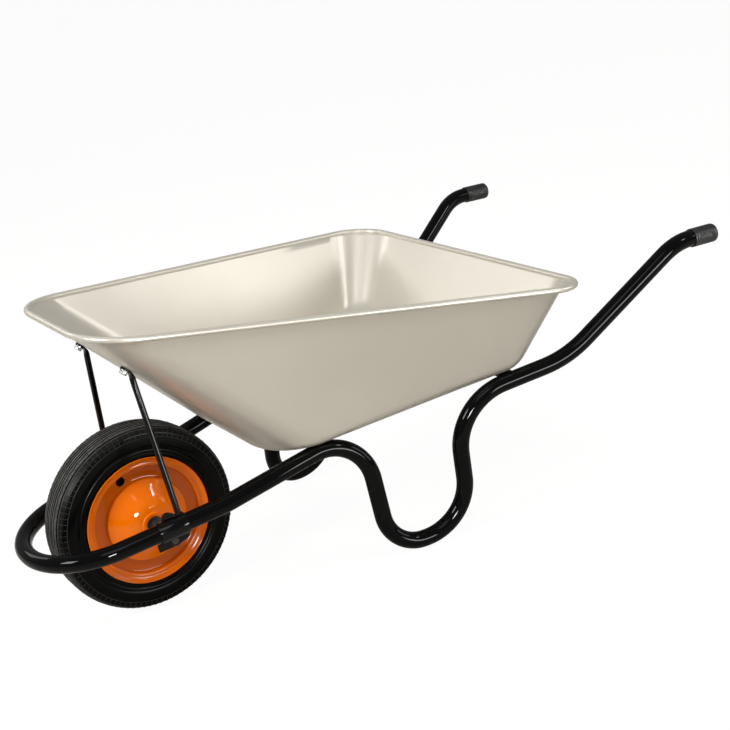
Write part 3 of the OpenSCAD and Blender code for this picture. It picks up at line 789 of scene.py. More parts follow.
@dataclass
class Tray:
    """The pressed tray: a floor, four flaring walls and a rolled edge."""

    floor_front_x: float = 204.6
    floor_len: float = 457.8
    floor_front_half_w: float = 177.8
    floor_rear_half_w: float = 280.4
    floor_h: float = 235.6
    floor_rise: float = 5.3
    floor_front_corner_r: float = 106
    floor_rear_corner_r: float = 39
    floor_round: float = 26
    rim_front_x: float = -75.6
    rim_len: float = 831.6
    rim_front_half_w: float = 171.2
    rim_rear_half_w: float = 370.6
    rim_h: float = 541.8
    rim_fall: float = 8.8
    rim_front_corner_r: float = 112
    rim_rear_corner_r: float = 64
    wall_front_corner_r: float = 104
    wall_rear_corner_r: float = 81
    lip_w: float = 6
    lip_side_w: float = 7.8
    lip_drop: float = 4.4
    sheet: float = 1.5
    bead_r: float = 5.5
    corner_steps: int = 18
    side_steps: int = 10
    round_steps: int = 10
    wall_steps: int = 12
    bead_turn: range = range(198, -141, -13)

    def floor_z(self, x: float) -> float:
        """Height of the floor's underside at a station."""
        return self.floor_h + (x - self.floor_front_x) * math.tan(math.radians(self.floor_rise))

    @property
    def floor_up(self) -> Vector:
        """The direction square to the floor."""
        rise = math.radians(self.floor_rise)
        return Vector((-math.sin(rise), 0, math.cos(rise)))

    def outline(
        self, front: tuple[float, float], rear: tuple[float, float], front_r: float, rear_r: float
    ) -> list[tuple[Vector, Vector]]:
        """Works out a four-sided outline with rounded corners, wider at the rear.

        Args:
            front: Station and half width of the front corners.
            rear: Station and half width of the rear corners.
            front_r: Radius of the front corners.
            rear_r: Radius of the rear corners.

        Returns:
            Each point of the outline with its outward direction.
        """
        splay = math.atan((rear[1] - front[1]) / (rear[0] - front[0]))
        sine, cosine = math.sin(splay), math.cos(splay)
        front_c = Vector((front[0] + front_r, front[1] - front_r * (1 - sine) / cosine))
        rear_x = rear[0] - rear_r
        rear_c = Vector((rear_x, front[1] + (sine * (rear_x - front[0]) - rear_r) / cosine))
        quarter = math.pi / 2
        arcs = [
            (rear_c, rear_r, 0, quarter + splay),
            (front_c, front_r, quarter + splay, math.pi),
            (Vector((front_c.x, -front_c.y)), front_r, math.pi, 3 * quarter - splay),
            (Vector((rear_c.x, -rear_c.y)), rear_r, 3 * quarter - splay, math.tau),
        ]
        corners = []
        for centre, radius, start, end in arcs:
            corner = []
            for step in range(self.corner_steps + 1):
                angle = mix(start, end, step / self.corner_steps)
                way = Vector((math.cos(angle), math.sin(angle)))
                corner.append((centre + way * radius, way))
            corners.append(corner)
        points = []
        for number, corner in enumerate(corners):
            points += corner
            (at, way), (to, _) = corner[-1], corners[(number + 1) % len(corners)][0]
            points += [(at.lerp(to, s / self.side_steps), way) for s in range(1, self.side_steps)]
        return points

    def rings(self) -> list[list[Vector]]:
        """Works out the sheet's upper face, from the floor out to the end of the rolled edge.

        Returns:
            The rings, each round the whole tray.
        """
        floor_rear = self.floor_front_x + self.floor_len
        rim_rear = self.rim_front_x + self.rim_len
        floor = self.outline(
            (self.floor_front_x, self.floor_front_half_w), (floor_rear, self.floor_rear_half_w),
            self.floor_front_corner_r, self.floor_rear_corner_r,
        )
        rim = self.outline(
            (self.rim_front_x, self.rim_front_half_w), (rim_rear, self.rim_rear_half_w),
            self.rim_front_corner_r, self.rim_rear_corner_r,
        )
        wall = self.outline(
            (self.rim_front_x + self.lip_w, self.rim_front_half_w - self.lip_w),
            (rim_rear - self.lip_w, self.rim_rear_half_w - self.lip_side_w),
            self.wall_front_corner_r, self.wall_rear_corner_r,
        )
        slope = math.tan(math.radians(self.rim_fall))
        rows: list[list[Vector]] = []
        for (foot_at, foot_out), (top_at, _), (rim_at, rim_out) in zip(floor, wall, rim):
            out = Vector((rim_out.x, rim_out.y, 0))
            foot = Vector((foot_at.x, foot_at.y, self.floor_z(foot_at.x)))
            top_h = self.rim_h - (top_at.x - self.rim_front_x) * slope - self.lip_drop
            top = Vector((top_at.x, top_at.y, top_h))
            run = top - foot
            slant = self.sheet / run.z
            shift = run * slant - out * slant * math.hypot(run.dot(out), run.z)
            start = foot - Vector((foot_out.x, foot_out.y, 0)) * self.floor_round
            start.z = self.floor_z(start.x)
            foot, top, start = foot + shift, top + shift, start + Vector((0, 0, self.sheet))
            up = (top - foot).normalized()
            bent = foot + up * self.floor_round
            row = []
            for step in range(self.round_steps + 1):
                row.append(curve(start, foot, bent, step / self.round_steps))
            for step in range(1, self.wall_steps + 1):
                row.append(bent.lerp(top, step / self.wall_steps))
            centre = Vector((rim_at.x, rim_at.y, self.rim_h - (rim_at.x - self.rim_front_x) * slope))
            for degrees in self.bead_turn:
                angle = math.radians(degrees)
                row.append(centre + (out * math.cos(angle) + Vector((0, 0, math.sin(angle)))) * self.bead_r)
            rows.append(row)
        return [[station(*row[k]) for row in rows] for k in range(len(rows[0]))]

    def build(self) -> None:
        """Builds the tray from its floor outwards and gives the sheet its thickness."""
        rings = self.rings()
        loft = Loft("tray_pressing", rings[0])
        for ring in rings[1:]:
            loft.to(ring)
        obj = loft.obj
        Bench.pick(obj, Element.VERT, lambda place: any((place - p).length < MERGE_WITHIN for p in rings[0]))
        bpy.ops.mesh.edge_face_add()
        bpy.ops.mesh.select_all(action="SELECT")
        bpy.ops.mesh.normals_make_consistent(inside=False)
        floor = max(bmesh.from_edit_mesh(obj.data).faces, key=lambda face: face.calc_area())
        if floor.normal.z < 0:
            bpy.ops.mesh.flip_normals()
        Bench.close()
        Bench.modify(obj, "SOLIDIFY", thickness=self.sheet * MM, offset=-1, use_even_offset=True)
        Label("tray_pressing", ("tray",), "tray_paint", Finish.TRAY, 38).put_on(obj)


# The tube frame


@dataclass
class TubeFrame:
    """One tube, bent round the wheel, down into both legs and back to the handles."""

    tray: Tray
    tube_r: float = 15
    loop_clear: float = 25.8
    loop_bend_r: float = 134
    fork_half_w: float = 145.2
    fork_toe: float = 6.4
    fork_rise: float = 4.8
    fork_bend_x: float = 94
    fork_bend_r: float = 180
    leg_front_x: float = 362.5
    leg_rear_x: float = 518.5
    hump_half_w: float = 176.6
    hump_bend_r: float = 81
    foot_front_half_w: float = 210
    foot_rear_half_w: float = 234
    foot_front_bend_r: float = 65.5
    foot_rear_bend_r: float = 90
    knee_half_w: float = 242.4
    knee_bend_r: float = 107
    shoulder_x: float = 738.5
    shoulder_half_w: float = 287.6
    shoulder_bend_r: float = 190
    handle_x: float = 968.5
    handle_half_w: float = 340
    handle_h: float = 423.4
    handle_bend_r: float = 90
    handle_tip_len: float = 84.4
    grip_dip: float = 4.6
    hump_tries: int = 5
    sides: int = 40
    bend_step: float = 3.0
    least_steps: int = 4

    def fork_point(self, x: float) -> Vector:
        """The tube's middle along the fork, on the right.

        Args:
            x: Distance behind the axle.

        Returns:
            The point.
        """
        height = WHEEL_R + AXLE_R + 2 * GAP + self.tube_r
        rise = math.tan(math.radians(self.fork_rise))
        return Vector((x, self.fork_half_w + x * math.tan(math.radians(self.fork_toe)), height + x * rise))

    def under_floor(self, x: float) -> float:
        """Height of a tube that lies under the tray's floor."""
        return self.tray.floor_z(x) - (self.tube_r + GAP) / math.cos(math.radians(self.tray.floor_rise))

    def corners(self, hump_h: float) -> list[tuple[Vector, float]]:
        """The right side's corners with their bend radii, from the loop to the tip.

        Args:
            hump_h: Height of the hump's corner.

        Returns:
            Corner and radius pairs.
        """
        dip = math.radians(self.grip_dip)
        tip = Vector((
            self.handle_x + self.handle_tip_len * math.cos(dip), self.handle_half_w,
            self.handle_h - self.handle_tip_len * math.sin(dip),
        ))
        knee_h, shoulder_h = self.under_floor(self.leg_rear_x), self.under_floor(self.shoulder_x)
        return [
            (self.fork_point(-(WHEEL_R + self.loop_clear + self.tube_r)), self.loop_bend_r),
            (self.fork_point(self.fork_bend_x), self.fork_bend_r),
            (Vector((self.leg_front_x, self.hump_half_w, hump_h)), self.hump_bend_r),
            (Vector((self.leg_front_x, self.foot_front_half_w, self.tube_r)), self.foot_front_bend_r),
            (Vector((self.leg_rear_x, self.foot_rear_half_w, self.tube_r)), self.foot_rear_bend_r),
            (Vector((self.leg_rear_x, self.knee_half_w, knee_h)), self.knee_bend_r),
            (Vector((self.shoulder_x, self.shoulder_half_w, shoulder_h)), self.shoulder_bend_r),
            (Vector((self.handle_x, self.handle_half_w, self.handle_h)), self.handle_bend_r),
            (tip, 0),
        ]

    def hump_height(self) -> float:
        """Fits the hump to the floor.

        Returns:
            Height of the hump's corner at which the bent tube just meets the floor.
        """
        height = self.tray.floor_h
        for _ in range(self.hump_tries):
            (before, _), (corner, radius), (after, _) = self.corners(height)[1:4]
            h_in, h_out = (corner - before).normalized(), (after - corner).normalized()
            normal = h_in.cross(h_out).normalized()
            start = corner - h_in * radius * math.tan(h_in.angle(h_out) / 2)
            centre = start - h_in.cross(normal) * radius
            out = (self.tray.floor_up - normal * self.tray.floor_up.dot(normal)).normalized()
            crest = centre + out * radius
            height += self.under_floor(crest.x) - crest.z
        return height

    def build(self) -> None:
        """Sweeps the tube from the left tip to the right one, run by run and bend by bend."""
        right = self.corners(self.hump_height())
        left = [(Vector((p.x, -p.y, p.z)), r) for p, r in right]
        path = list(reversed(left)) + right
        points = [station(*p) for p, _ in path]
        radii = [r * MM for _, r in path]
        Bench.clear()
        bpy.ops.mesh.primitive_circle_add(vertices=self.sides, radius=self.tube_r * MM, fill_type="NOTHING")
        obj = bpy.context.object
        Bench.place(obj, along(points[0], points[1]))
        Bench.edit(obj)
        at = points[0]
        for before, corner, after, radius in zip(points, points[1:], points[2:], radii[1:]):
            h_in, h_out = (corner - before).normalized(), (after - corner).normalized()
            turn = h_in.angle(h_out)
            start = corner - h_in * radius * math.tan(turn / 2)
            bpy.ops.mesh.extrude_region_move(TRANSFORM_OT_translate={"value": start - at})
            normal = h_in.cross(h_out).normalized()
            steps = max(self.least_steps, round(math.degrees(turn) / self.bend_step))
            bpy.ops.mesh.spin(
                steps=steps, angle=-turn, center=start - h_in.cross(normal) * radius, axis=normal
            )
            at = corner + h_out * radius * math.tan(turn / 2)
        bpy.ops.mesh.extrude_region_move(TRANSFORM_OT_translate={"value": points[-1] - at})
        bpy.ops.mesh.select_all(action="SELECT")
        bpy.ops.mesh.fill_holes(sides=0)
        Bench.outwards(obj)
        nodes = ("frame_loop", "frame_side_left", "frame_side_right")
        Label("bent_tube", nodes, "frame_paint", Finish.FRAME, 60).put_on(obj)


# Brackets, stays and fasteners


def hexagon(across_flats: float, height: float, nut: bool, bore: float = 0) -> bpy.types.Object:
    """A hexagonal head or nut with chamfered corners, standing on the XY plane, sized in millimetres.

    Args:
        across_flats: Width across flats.
        height: Its height.
        nut: Whether its lower corners are chamfered too, as on a nut.
        bore: Radius of its bore, or 0 for none.

    Returns:
        The piece.
    """
    corner = across_flats / 2 / math.cos(math.radians(30))
    body = Bench.cylinder(corner, height, 6, lift(height / 2))
    clear = corner + 0.02
    flat = across_flats / 2 * 0.96
    drop = (corner - flat) * 0.55
    low = [(flat, 0), (clear, drop)] if nut else [(clear, 0)]
    cone = lathe("cone", [(0, 0)] + low + [(clear, height - drop), (flat, height), (0, height)], 48)
    Bench.carve(body, cone, "INTERSECT")
    if bore:
        Bench.carve(body, Bench.cylinder(bore, 4 * height, 40, Matrix.Identity(4)))
    Bench.soften(body, 0.18, 2, 30)
    return body


def washer(outer: float, inner: float, thickness: float) -> bpy.types.Object:
    """A flat washer with rounded edges, standing on the XY plane, sized in millimetres.

    Args:
        outer: Its outer radius.
        inner: Its inner radius.
        thickness: Its thickness.

    Returns:
        The washer.
    """
    r = 0.3
    profile = [
        (inner, r), (inner + r, 0), (outer - r, 0), (outer, r),
        (outer, thickness - r), (outer - r, thickness), (inner + r, thickness), (inner, thickness - r),
    ]
    return lathe("washer", profile, 48)


def threaded(radius: float, length: float) -> bpy.types.Object:
    """A threaded shank with a chamfered end that hangs below the XY plane, sized in millimetres.

    Args:
        radius: Its radius over the thread.
        length: Its length.

    Returns:
        The shank.
    """
    pitch = 1.25
    depth = 0.45
    chamfer = 1.0
    profile = [(0, 0), (radius, 0)]
    at = chamfer
    while at < length - pitch:
        profile += [(radius, -at), (radius - depth, -at - pitch / 2)]
        at += pitch
    profile += [(radius, -length + chamfer), (radius - chamfer, -length), (0, -length)]
    return lathe("shank", profile, 32)


@dataclass
class Stays:
    """The two stays from the axle brackets to the front wall, and the bolts that hold them."""

    tray: Tray
    tubes: TubeFrame
    rod_r: float = 5.3
    bolt_x: float = 1.28
    bolt_half_w: float = 97.3
    bolt_h: float = 460
    wall_out: tuple[float, float, float] = (-0.738, 0.0708, -0.671)
    wall_up: tuple[float, float, float] = (-0.674, -0.0246, 0.738)
    straight_shares: tuple[float, ...] = (0.3, 0.6, 0.85, 0.93)
    bend_in: float = 9
    bend_out: float = 8
    bend_steps: int = 8
    paddle_t: float = 4
    paddle_w: float = 17
    paddle_square: float = 0.45
    washer_t: float = 1.5
    washer_r: float = 8
    bolt_r: float = 4
    bolt_spare: float = 4
    hex_af: float = 13
    head_t: float = 5.3
    nut_t: float = 6.5
    sides: int = 32

    def seat(self) -> tuple[Vector, Vector, Vector]:
        """Where the right bolt meets the front wall.

        Returns:
            The place, the wall's upward direction and its outward direction there.
        """
        out = Vector(self.wall_out).normalized()
        up = Vector(self.wall_up)
        up = (up - out * up.dot(out)).normalized()
        return Vector((self.bolt_x, self.bolt_half_w, self.bolt_h)), up, out

    def ring(
        self, at: Vector, across: Vector, thin: Vector, half_w: float, half_t: float, square: float = 1,
    ) -> list[Vector]:
        """A ring round the stay.

        Args:
            at: Its middle.
            across: Its wide direction.
            thin: Its thin direction.
            half_w: Half its width.
            half_t: Half its thickness.
            square: 1 for an ellipse, smaller for squarer corners.

        Returns:
            The ring's points.
        """
        points = []
        for number in range(self.sides):
            angle = math.tau * number / self.sides
            c, s = math.cos(angle), math.sin(angle)
            wide = math.copysign(abs(c) ** square, c) * half_w
            deep = math.copysign(abs(s) ** square, s) * half_t
            points.append(station(*(at + across * wide + thin * deep)))
        return points

    def stay(self) -> bpy.types.Object:
        """Lofts the right stay: a rod whose end is bent, flattened and rounded.

        Returns:
            The stay.
        """
        seat, up, out = self.seat()
        fork = self.tubes.fork_point(STAY_FOOT_X)
        bend = seat - up * STAY_BOLT_DROP + out * (self.rod_r + GAP)
        rod = (fork - bend).normalized()
        end = fork - rod * (self.tubes.tube_r + GAP + BRACKET_T)
        across = up.cross(out).normalized()
        thin_rod = across.cross(rod).normalized()
        if thin_rod.dot(out) < 0:
            thin_rod = -thin_rod
        length = (bend - end).length
        loft = Loft("stay", self.ring(end, across, thin_rod, self.rod_r, self.rod_r))
        for share in self.straight_shares:
            loft.to(self.ring(end - rod * length * share, across, thin_rod, self.rod_r, self.rod_r))
        mid_out = out * (GAP + self.paddle_t / 2)
        turn_from = end - rod * (length - self.bend_in)
        turn_to = seat - up * (STAY_BOLT_DROP - self.bend_out) + mid_out
        corner = bend.lerp(seat - up * STAY_BOLT_DROP + mid_out, 0.5)
        radius = self.paddle_w / 2
        for step in range(1, self.bend_steps + 1):
            t = step / self.bend_steps
            ease = t * t * (3 - 2 * t)
            at, thin = curve(turn_from, corner, turn_to, t), thin_rod.lerp(out, t).normalized()
            half_w, half_t = mix(self.rod_r, radius, ease), mix(self.rod_r, self.paddle_t / 2, ease)
            loft.to(self.ring(at, across, thin, half_w, half_t, mix(1, self.paddle_square, t)))
        for step in range(self.bend_steps + 1):
            angle = math.pi / 2 * step / (self.bend_steps + 0.3)
            at = seat + mid_out + up * radius * math.sin(angle)
            half_w = radius * math.cos(angle)
            loft.to(self.ring(at, across, out, half_w, self.paddle_t / 2, self.paddle_square))
        return loft.done()

    def build(self) -> None:
        """Builds both stays and their fasteners."""
        Label("stay_rod", ("stay",), "stay_paint", Finish.STAY, 50).on_sides(self.stay())
        seat, up, out = self.seat()
        at = axes_at(up.cross(out), up, out, station(*seat))
        washer_at = GAP + self.paddle_t
        head_at = washer_at + self.washer_t
        nut_at = -self.tray.sheet - GAP - self.nut_t
        head = hexagon(self.hex_af, self.head_t, False)
        bolt = Bench.join([head, threaded(self.bolt_r, head_at + self.nut_t + self.bolt_spare)])
        disc = washer(self.washer_r, self.bolt_r + 0.2, self.washer_t)
        nut = hexagon(self.hex_af, self.nut_t, True, self.bolt_r + 0.05)
        for piece, height, label in (
            (bolt, head_at, Label("stay_hex_bolts", ("stay_bolts",), "zinc_bolt", Finish.ZINC)),
            (disc, washer_at, Label("stay_flat_washers", ("stay_washers",), "zinc_washer", Finish.ZINC)),
            (nut, nut_at, Label("stay_hex_nuts", ("stay_nuts",), "zinc_nut", Finish.ZINC)),
        ):
            Bench.place(piece, at @ lift(height))
            label.put_on(Bench.join([piece, Bench.copy(piece, MIRROR)]))


@dataclass
class Brackets:
    """The axle brackets: a strap over the tube, a plate for the axle below and a tab above."""

    tubes: TubeFrame
    stays: Stays
    strap_len: float = 50
    plate_drop: float = 32.5
    tab_h: float = 30.5
    stay_r: float = 4.75
    weld_w: float = 1.5
    weld_h: float = 1.3
    weld_off: float = 1.1
    stay_rest: float = 5

    def plates(self) -> list[bpy.types.Object]:
        """The plate below the tube and the tab above it, in the tube's own frame.

        Returns:
            The plate and the tab.
        """
        half, strap_r = self.strap_len / 2, self.tubes.tube_r + GAP
        foot, top = -self.plate_drop, self.tab_h
        below = [
            (-half, -strap_r + 1), (-half - 5, -strap_r - 1.5), (-half - 8.4, -strap_r - 4),
            (-half - 9, -strap_r - 7), (-half - 8.6, foot + 1.5), (-half - 7, foot), (-4, foot),
            (1.5, foot + 0.5), (7.5, foot + 2), (half - 5, foot + 5.4), (half - 2.4, foot + 7.4),
            (half - 0.6, -strap_r - 7), (half, -strap_r - 4), (half, -strap_r + 1),
        ]
        stop = STAY_FOOT_X - self.stay_r - 1
        above = [
            (-16, strap_r - 1), (-15, strap_r + 5), (-13, top - 5), (-11.4, top - 2.6), (-9, top - 1.2),
            (-6.5, top - 0.3), (-4.5, top), (-1.5, top - 0.8), (2, top - 2.5),
            (stop - 2, strap_r + 9), (stop, strap_r + 6), (stop, strap_r - 1),
        ]
        upright = Matrix.Rotation(math.radians(90), 4, "X")
        made = []
        for name, outline in (("plate", below), ("tab", above)):
            obj = plate(name, outline, BRACKET_T)
            Bench.soften(obj, 0.7, 3, 40)
            Bench.place(obj, upright)
            made.append(obj)
        return made

    def strap(self) -> bpy.types.Object:
        """The strap over the tube's outer half, in the tube's own frame, with X along the tube.

        Returns:
            The strap.
        """
        inner = self.tubes.tube_r + GAP
        outer = inner + BRACKET_T
        half = self.strap_len / 2
        section = ((-half, inner), (-half, outer), (half, outer), (half, inner))
        loft = Loft("strap", [mm(x, 0, r) for x, r in section])
        bpy.ops.mesh.spin(steps=36, angle=math.pi, center=(0, 0, 0), axis=(1, 0, 0))
        obj = loft.done()
        if min(vert.co.y for vert in obj.data.vertices) < -inner * 0.5 * MM:
            Bench.place(obj, MIRROR)
            Bench.outwards(obj)
        Bench.soften(obj, 0.8, 3, 50)
        return obj

    def boss(self) -> bpy.types.Object:
        """The pressed boss round the axle's spigot, standing on the XY plane."""
        steps = ((0.3, 0), (0.3, 2.0), (1.0, 2.5), (3.2, 2.3), (4.8, 1.2), (6.0, 0))
        return lathe("boss", [(SPIGOT_R + out, height) for out, height in steps], 48)

    def weld(self) -> bpy.types.Object:
        """A bead of weld round the stay's foot, standing on the XY plane.

        Returns:
            The bead.
        """
        middle = self.stay_r + self.weld_off
        roll = []
        for step in range(10):
            angle = math.tau * step / 10
            roll.append((middle + self.weld_w * math.cos(angle), self.weld_h * math.sin(angle)))
        bead = lathe("weld", roll, 40)
        for vert in bead.data.vertices:
            angle = math.atan2(vert.co.y, vert.co.x)
            vert.co *= 1 + 0.05 * math.sin(7 * angle + 0.6) + 0.04 * math.sin(13 * angle)
        return bead

    def build(self) -> None:
        """Builds the right bracket, then its mirrored copy."""
        start = self.tubes.fork_point(0)
        ahead = (self.tubes.fork_point(1) - start).normalized()
        side = Vector((0, 0, 1)).cross(ahead).normalized()
        up = ahead.cross(side)
        parts = self.plates() + [self.strap()]
        for part in parts:
            Bench.place(part, axes_at(ahead, side, up, station(*start)))
        spigot = station(0, self.tubes.fork_half_w, WHEEL_R) + side * BRACKET_T / 2 * MM
        boss = self.boss()
        Bench.place(boss, axes_at(ahead, up, -side, spigot) @ Matrix.Rotation(math.pi, 4, "X"))
        foot = self.tubes.fork_point(STAY_FOOT_X)
        seat, seat_up, seat_out = self.stays.seat()
        bend = seat - seat_up * STAY_BOLT_DROP + seat_out * self.stay_rest
        reach = self.tubes.tube_r + GAP + BRACKET_T + 0.4
        weld = self.weld()
        Bench.place(weld, along(station(*(foot + (bend - foot).normalized() * reach)), station(*bend)))
        right = Bench.join(parts + [boss, weld])
        Label("bracket", ("axle_bracket",), "bracket_paint", Finish.BRACKET, 40).on_sides(right)


@dataclass
class AxleSet:
    """The axle with its nuts and washers."""

    shoulder: float = 142.6
    washer_at: float = 92
    washer_r: float = 15
    washer_t: float = 2.5
    nut_af: float = 22
    nut_t: float = 11

    def build(self) -> None:
        """Builds the axle and the fasteners on both of its ends."""
        end = max(abs(corner[1]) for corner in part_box("axle")) / MM
        half = [
            (0, end), (SPIGOT_R - 0.9, end), (SPIGOT_R, end - 0.9), (SPIGOT_R, self.shoulder),
            (AXLE_R - 0.6, self.shoulder), (AXLE_R, self.shoulder - 0.6),
        ]
        axle = lathe("axle", half + [(r, -y) for r, y in reversed(half)], 48)
        Bench.place(axle, ON_AXLE)
        Label("axle_rod", ("axle",), "axle_steel", Finish.STEEL).put_on(axle)
        disc = washer(self.washer_r, AXLE_R + 0.2, self.washer_t)
        Bench.place(disc, lift(self.washer_at))
        Label("axle_flat_washers", ("axle_washers",), "zinc_washer", Finish.ZINC).on_ends(disc)
        nut = hexagon(self.nut_af, self.nut_t, True, AXLE_R + 0.1)
        Bench.place(nut, lift(self.washer_at + self.washer_t))
        Label("axle_hex_nuts", ("axle_nuts",), "zinc_nut", Finish.ZINC).on_ends(nut)


@dataclass
class Grips:
    """The vinyl grips on the tube's two ends."""

    tubes: TubeFrame
    length: float = 49
    wall: float = 1.8
    end_t: float = 4.6
    ribs: int = 7
    rib_pitch: float = 3.2

    def build(self) -> None:
        """Turns the right grip and mirrors it for the left."""
        bore, outer = self.tubes.tube_r + 0.15, self.tubes.tube_r + self.wall
        top, low = self.end_t, -self.length
        profile = [
            (bore, low), (outer - 0.7, low), (outer, low + 0.7), (outer, low + 4.2),
            (outer - 0.6, low + 4.8), (outer - 0.6, low + 5.8), (outer, low + 6.4),
        ]
        for number in range(self.ribs):
            at = low + 12 + number * self.rib_pitch
            profile += [(outer, at), (outer - 0.35, at + 0.5), (outer - 0.35, at + 1.1), (outer, at + 1.6)]
        profile += [
            (outer, top - 9.0), (outer - 0.7, top - 8.3), (outer - 0.7, top - 7.5), (outer, top - 6.9),
            (outer, top - 3.2), (outer - 0.5, top - 1.7), (outer - 1.6, top - 0.6), (outer - 3.2, top),
            (0, top), (0, top - 3), (bore, top - 3),
        ]
        right = lathe("grip", profile, 72)
        corners = self.tubes.corners(self.tubes.hump_height())
        handle, tip = corners[-2][0], corners[-1][0]
        Bench.place(right, along(station(*tip), station(*(tip * 2 - handle))))
        Label("grip_sleeve", ("grip",), "grip_rubber", Finish.GRIP, 35).on_sides(right)


# The wheel


def mark(obj: bpy.types.Object, tone: Callable[[Vector], float]) -> None:
    """Writes the tone attribute that some finishes read.

    Args:
        obj: The piece.
        tone: The tone at a vertex's place.
    """
    values = obj.data.attributes.new("tone", "FLOAT", "POINT").data
    for vert in obj.data.vertices:
        values[vert.index].value = tone(vert.co)


@dataclass
class Tyre:
    """The tyre, modelled as one pitch of tread that is copied round the wheel."""

    half_w: float = 38.5
    crown_drop: float = 9.5
    pitches: int = 48
    line_deg: float = 0.32
    groove: float = 4.0
    sipe: float = 1.5
    raised: float = 0.5
    zigzag: float = 1.3
    grooves: Profile = ((2.4, 5.6), (9.0, 12.4), (16.4, 20.0), (26.0, 28.6))
    inner_sipe_from: float = 13.0
    ring_r: float = 147.5
    rim_r: float = 104.3
    merge_within: float = 0.02
    rib_tone: float = 0.8
    line_tone: float = 0.5
    shoulder_tone: float = 0.12

    @property
    def shoulder(self) -> float:
        """Where the shoulder starts, from the middle."""
        return self.grooves[-1][1]

    def crown(self, across: float) -> float:
        """Radius of the tread's surface at a distance from its middle."""
        return WHEEL_R - self.crown_drop * (across / self.half_w) ** 4

    def on_crown(self, start: float, end: float, shares: Sequence[float]) -> list[tuple[float, float]]:
        """Points on the tread's surface at shares of the way from start to end."""
        return [(self.crown(across), across) for across in (mix(start, end, t) for t in shares)]

    def half_profile(self) -> list[tuple[float, float]]:
        """Works out the outer half of the section, from the middle to the rim.

        Returns:
            The points, as (radius, across).
        """
        points: list[tuple[float, float]] = []
        at = 0.0
        for start, end in self.grooves:
            points += self.on_crown(at, start, (0.04, 0.5, 0.96, 1.0))
            points += [(self.crown(across) - self.groove, across) for across in (start + 0.3, end - 0.3)]
            points.append((self.crown(end), end))
            at = end
        side = self.half_w
        edge = side - 1.6
        points += self.on_crown(at, edge, (0.05, 0.35, 0.7, 0.92, 1.0))
        points += [
            (self.crown(edge) - 1.6, side - 0.9), (self.crown(edge) - 3.4, side - 0.7),
            (self.ring_r + 1.2, side - 0.5), (self.ring_r + 0.7, side + 0.3),
            (self.ring_r - 0.7, side + 0.3), (self.ring_r - 1.2, side - 0.5),
            (142, side - 0.2), (136, side), (129.5, side - 0.4), (128.6, side - 0.9),
            (127.6, side + 0.2), (126.2, side + 1.0), (124.6, side + 1.3), (123.0, side + 1.0),
            (121.6, side + 0.1), (120.4, side - 1.2), (117, side - 0.8), (114.2, side - 1.2),
            (112.5, side - 3.0), (self.rim_r, 31.4),
        ]
        return points

    def in_line(self, place: Vector) -> bool:
        """Whether a place lies in one of the two narrow columns of the pitch."""
        return 0 < self.degrees(place) % (180 / self.pitches) < self.line_deg

    @staticmethod
    def degrees(place: Vector) -> float:
        """Angle of a place from the pitch's start."""
        return math.degrees(math.atan2(place.y, place.x))

    @staticmethod
    def spot(place: Vector) -> tuple[float, float]:
        """Radius and distance from the middle of a place, in millimetres."""
        return math.hypot(place.x, place.y) / MM, abs(place.z) / MM

    def is_sipe(self, place: Vector) -> bool:
        """Whether a face's middle belongs to a cut across the tread.

        Args:
            place: The face's middle.

        Returns:
            Whether it is cut in.
        """
        radius, across = self.spot(place)
        groove, last = self.grooves[-2:]
        outer = groove[1] + 1 < across < last[0]
        inner = self.inner_sipe_from < across < groove[0] - 0.1
        return self.in_line(place) and radius > self.ring_r + 2.5 and (outer or inner)

    def is_line(self, place: Vector) -> bool:
        """Whether a face's middle belongs to a raised line on the shoulder."""
        radius, across = self.spot(place)
        return self.in_line(place) and across > self.shoulder + 0.4 and radius > self.ring_r + 1.2

    def pitch(self) -> bpy.types.Object:
        """Models one pitch: the section, spun through four columns, with its sipes and raised lines.

        Returns:
            The pitch.
        """
        half = self.half_profile()
        profile = [(r, -across) for r, across in reversed(half)] + half
        obj = wire("pitch", [mm(r, 0, across) for r, across in profile])
        turn = 360 / self.pitches
        column = turn / 2 - self.line_deg
        for degrees in (self.line_deg, column, self.line_deg, column):
            bpy.ops.mesh.spin(steps=1, angle=-math.radians(degrees), center=(0, 0, 0), axis=(0, 0, 1))
        Bench.close()
        Bench.outwards(obj)
        Bench.edit(obj)
        start, end = self.grooves[-2]
        for near_start, shift in ((True, self.zigzag), (False, -self.zigzag)):
            for side in (1, -1):
                Bench.pick(obj, Element.VERT, lambda place: (
                    start - 0.1 < self.spot(place)[1] < end + 0.1 and place.z * side > 0
                    and (abs(self.degrees(place) - turn / 2) > column / 2) == near_start
                ))
                bpy.ops.transform.translate(value=(0, 0, shift * side * MM))
        for wanted, height in ((self.is_sipe, -self.sipe), (self.is_line, self.raised)):
            Bench.pick(obj, Element.FACE, wanted)
            bpy.ops.mesh.extrude_region_shrink_fatten(TRANSFORM_OT_shrink_fatten={"value": height * MM})
        Bench.close()
        return obj

    def tone(self, place: Vector) -> float:
        """How grey the rubber is at a place.

        Args:
            place: A vertex's place, with the axle along Z.

        Returns:
            The tone, from 0 in the grooves to 1 on the greyest rubber.
        """
        radius, across = self.spot(place)
        crown = self.crown(min(across, self.half_w))
        on_edge = any(abs(across - edge) < self.merge_within for groove in self.grooves for edge in groove)
        line = across > self.shoulder and radius > crown + 0.25
        side_line = self.ring_r < radius < self.crown(self.half_w) and across > self.half_w - 0.45
        if line or side_line:
            return self.line_tone
        if on_edge or radius <= crown - 0.3:
            return 0.0
        return self.rib_tone if across < self.shoulder + 0.5 else self.shoulder_tone

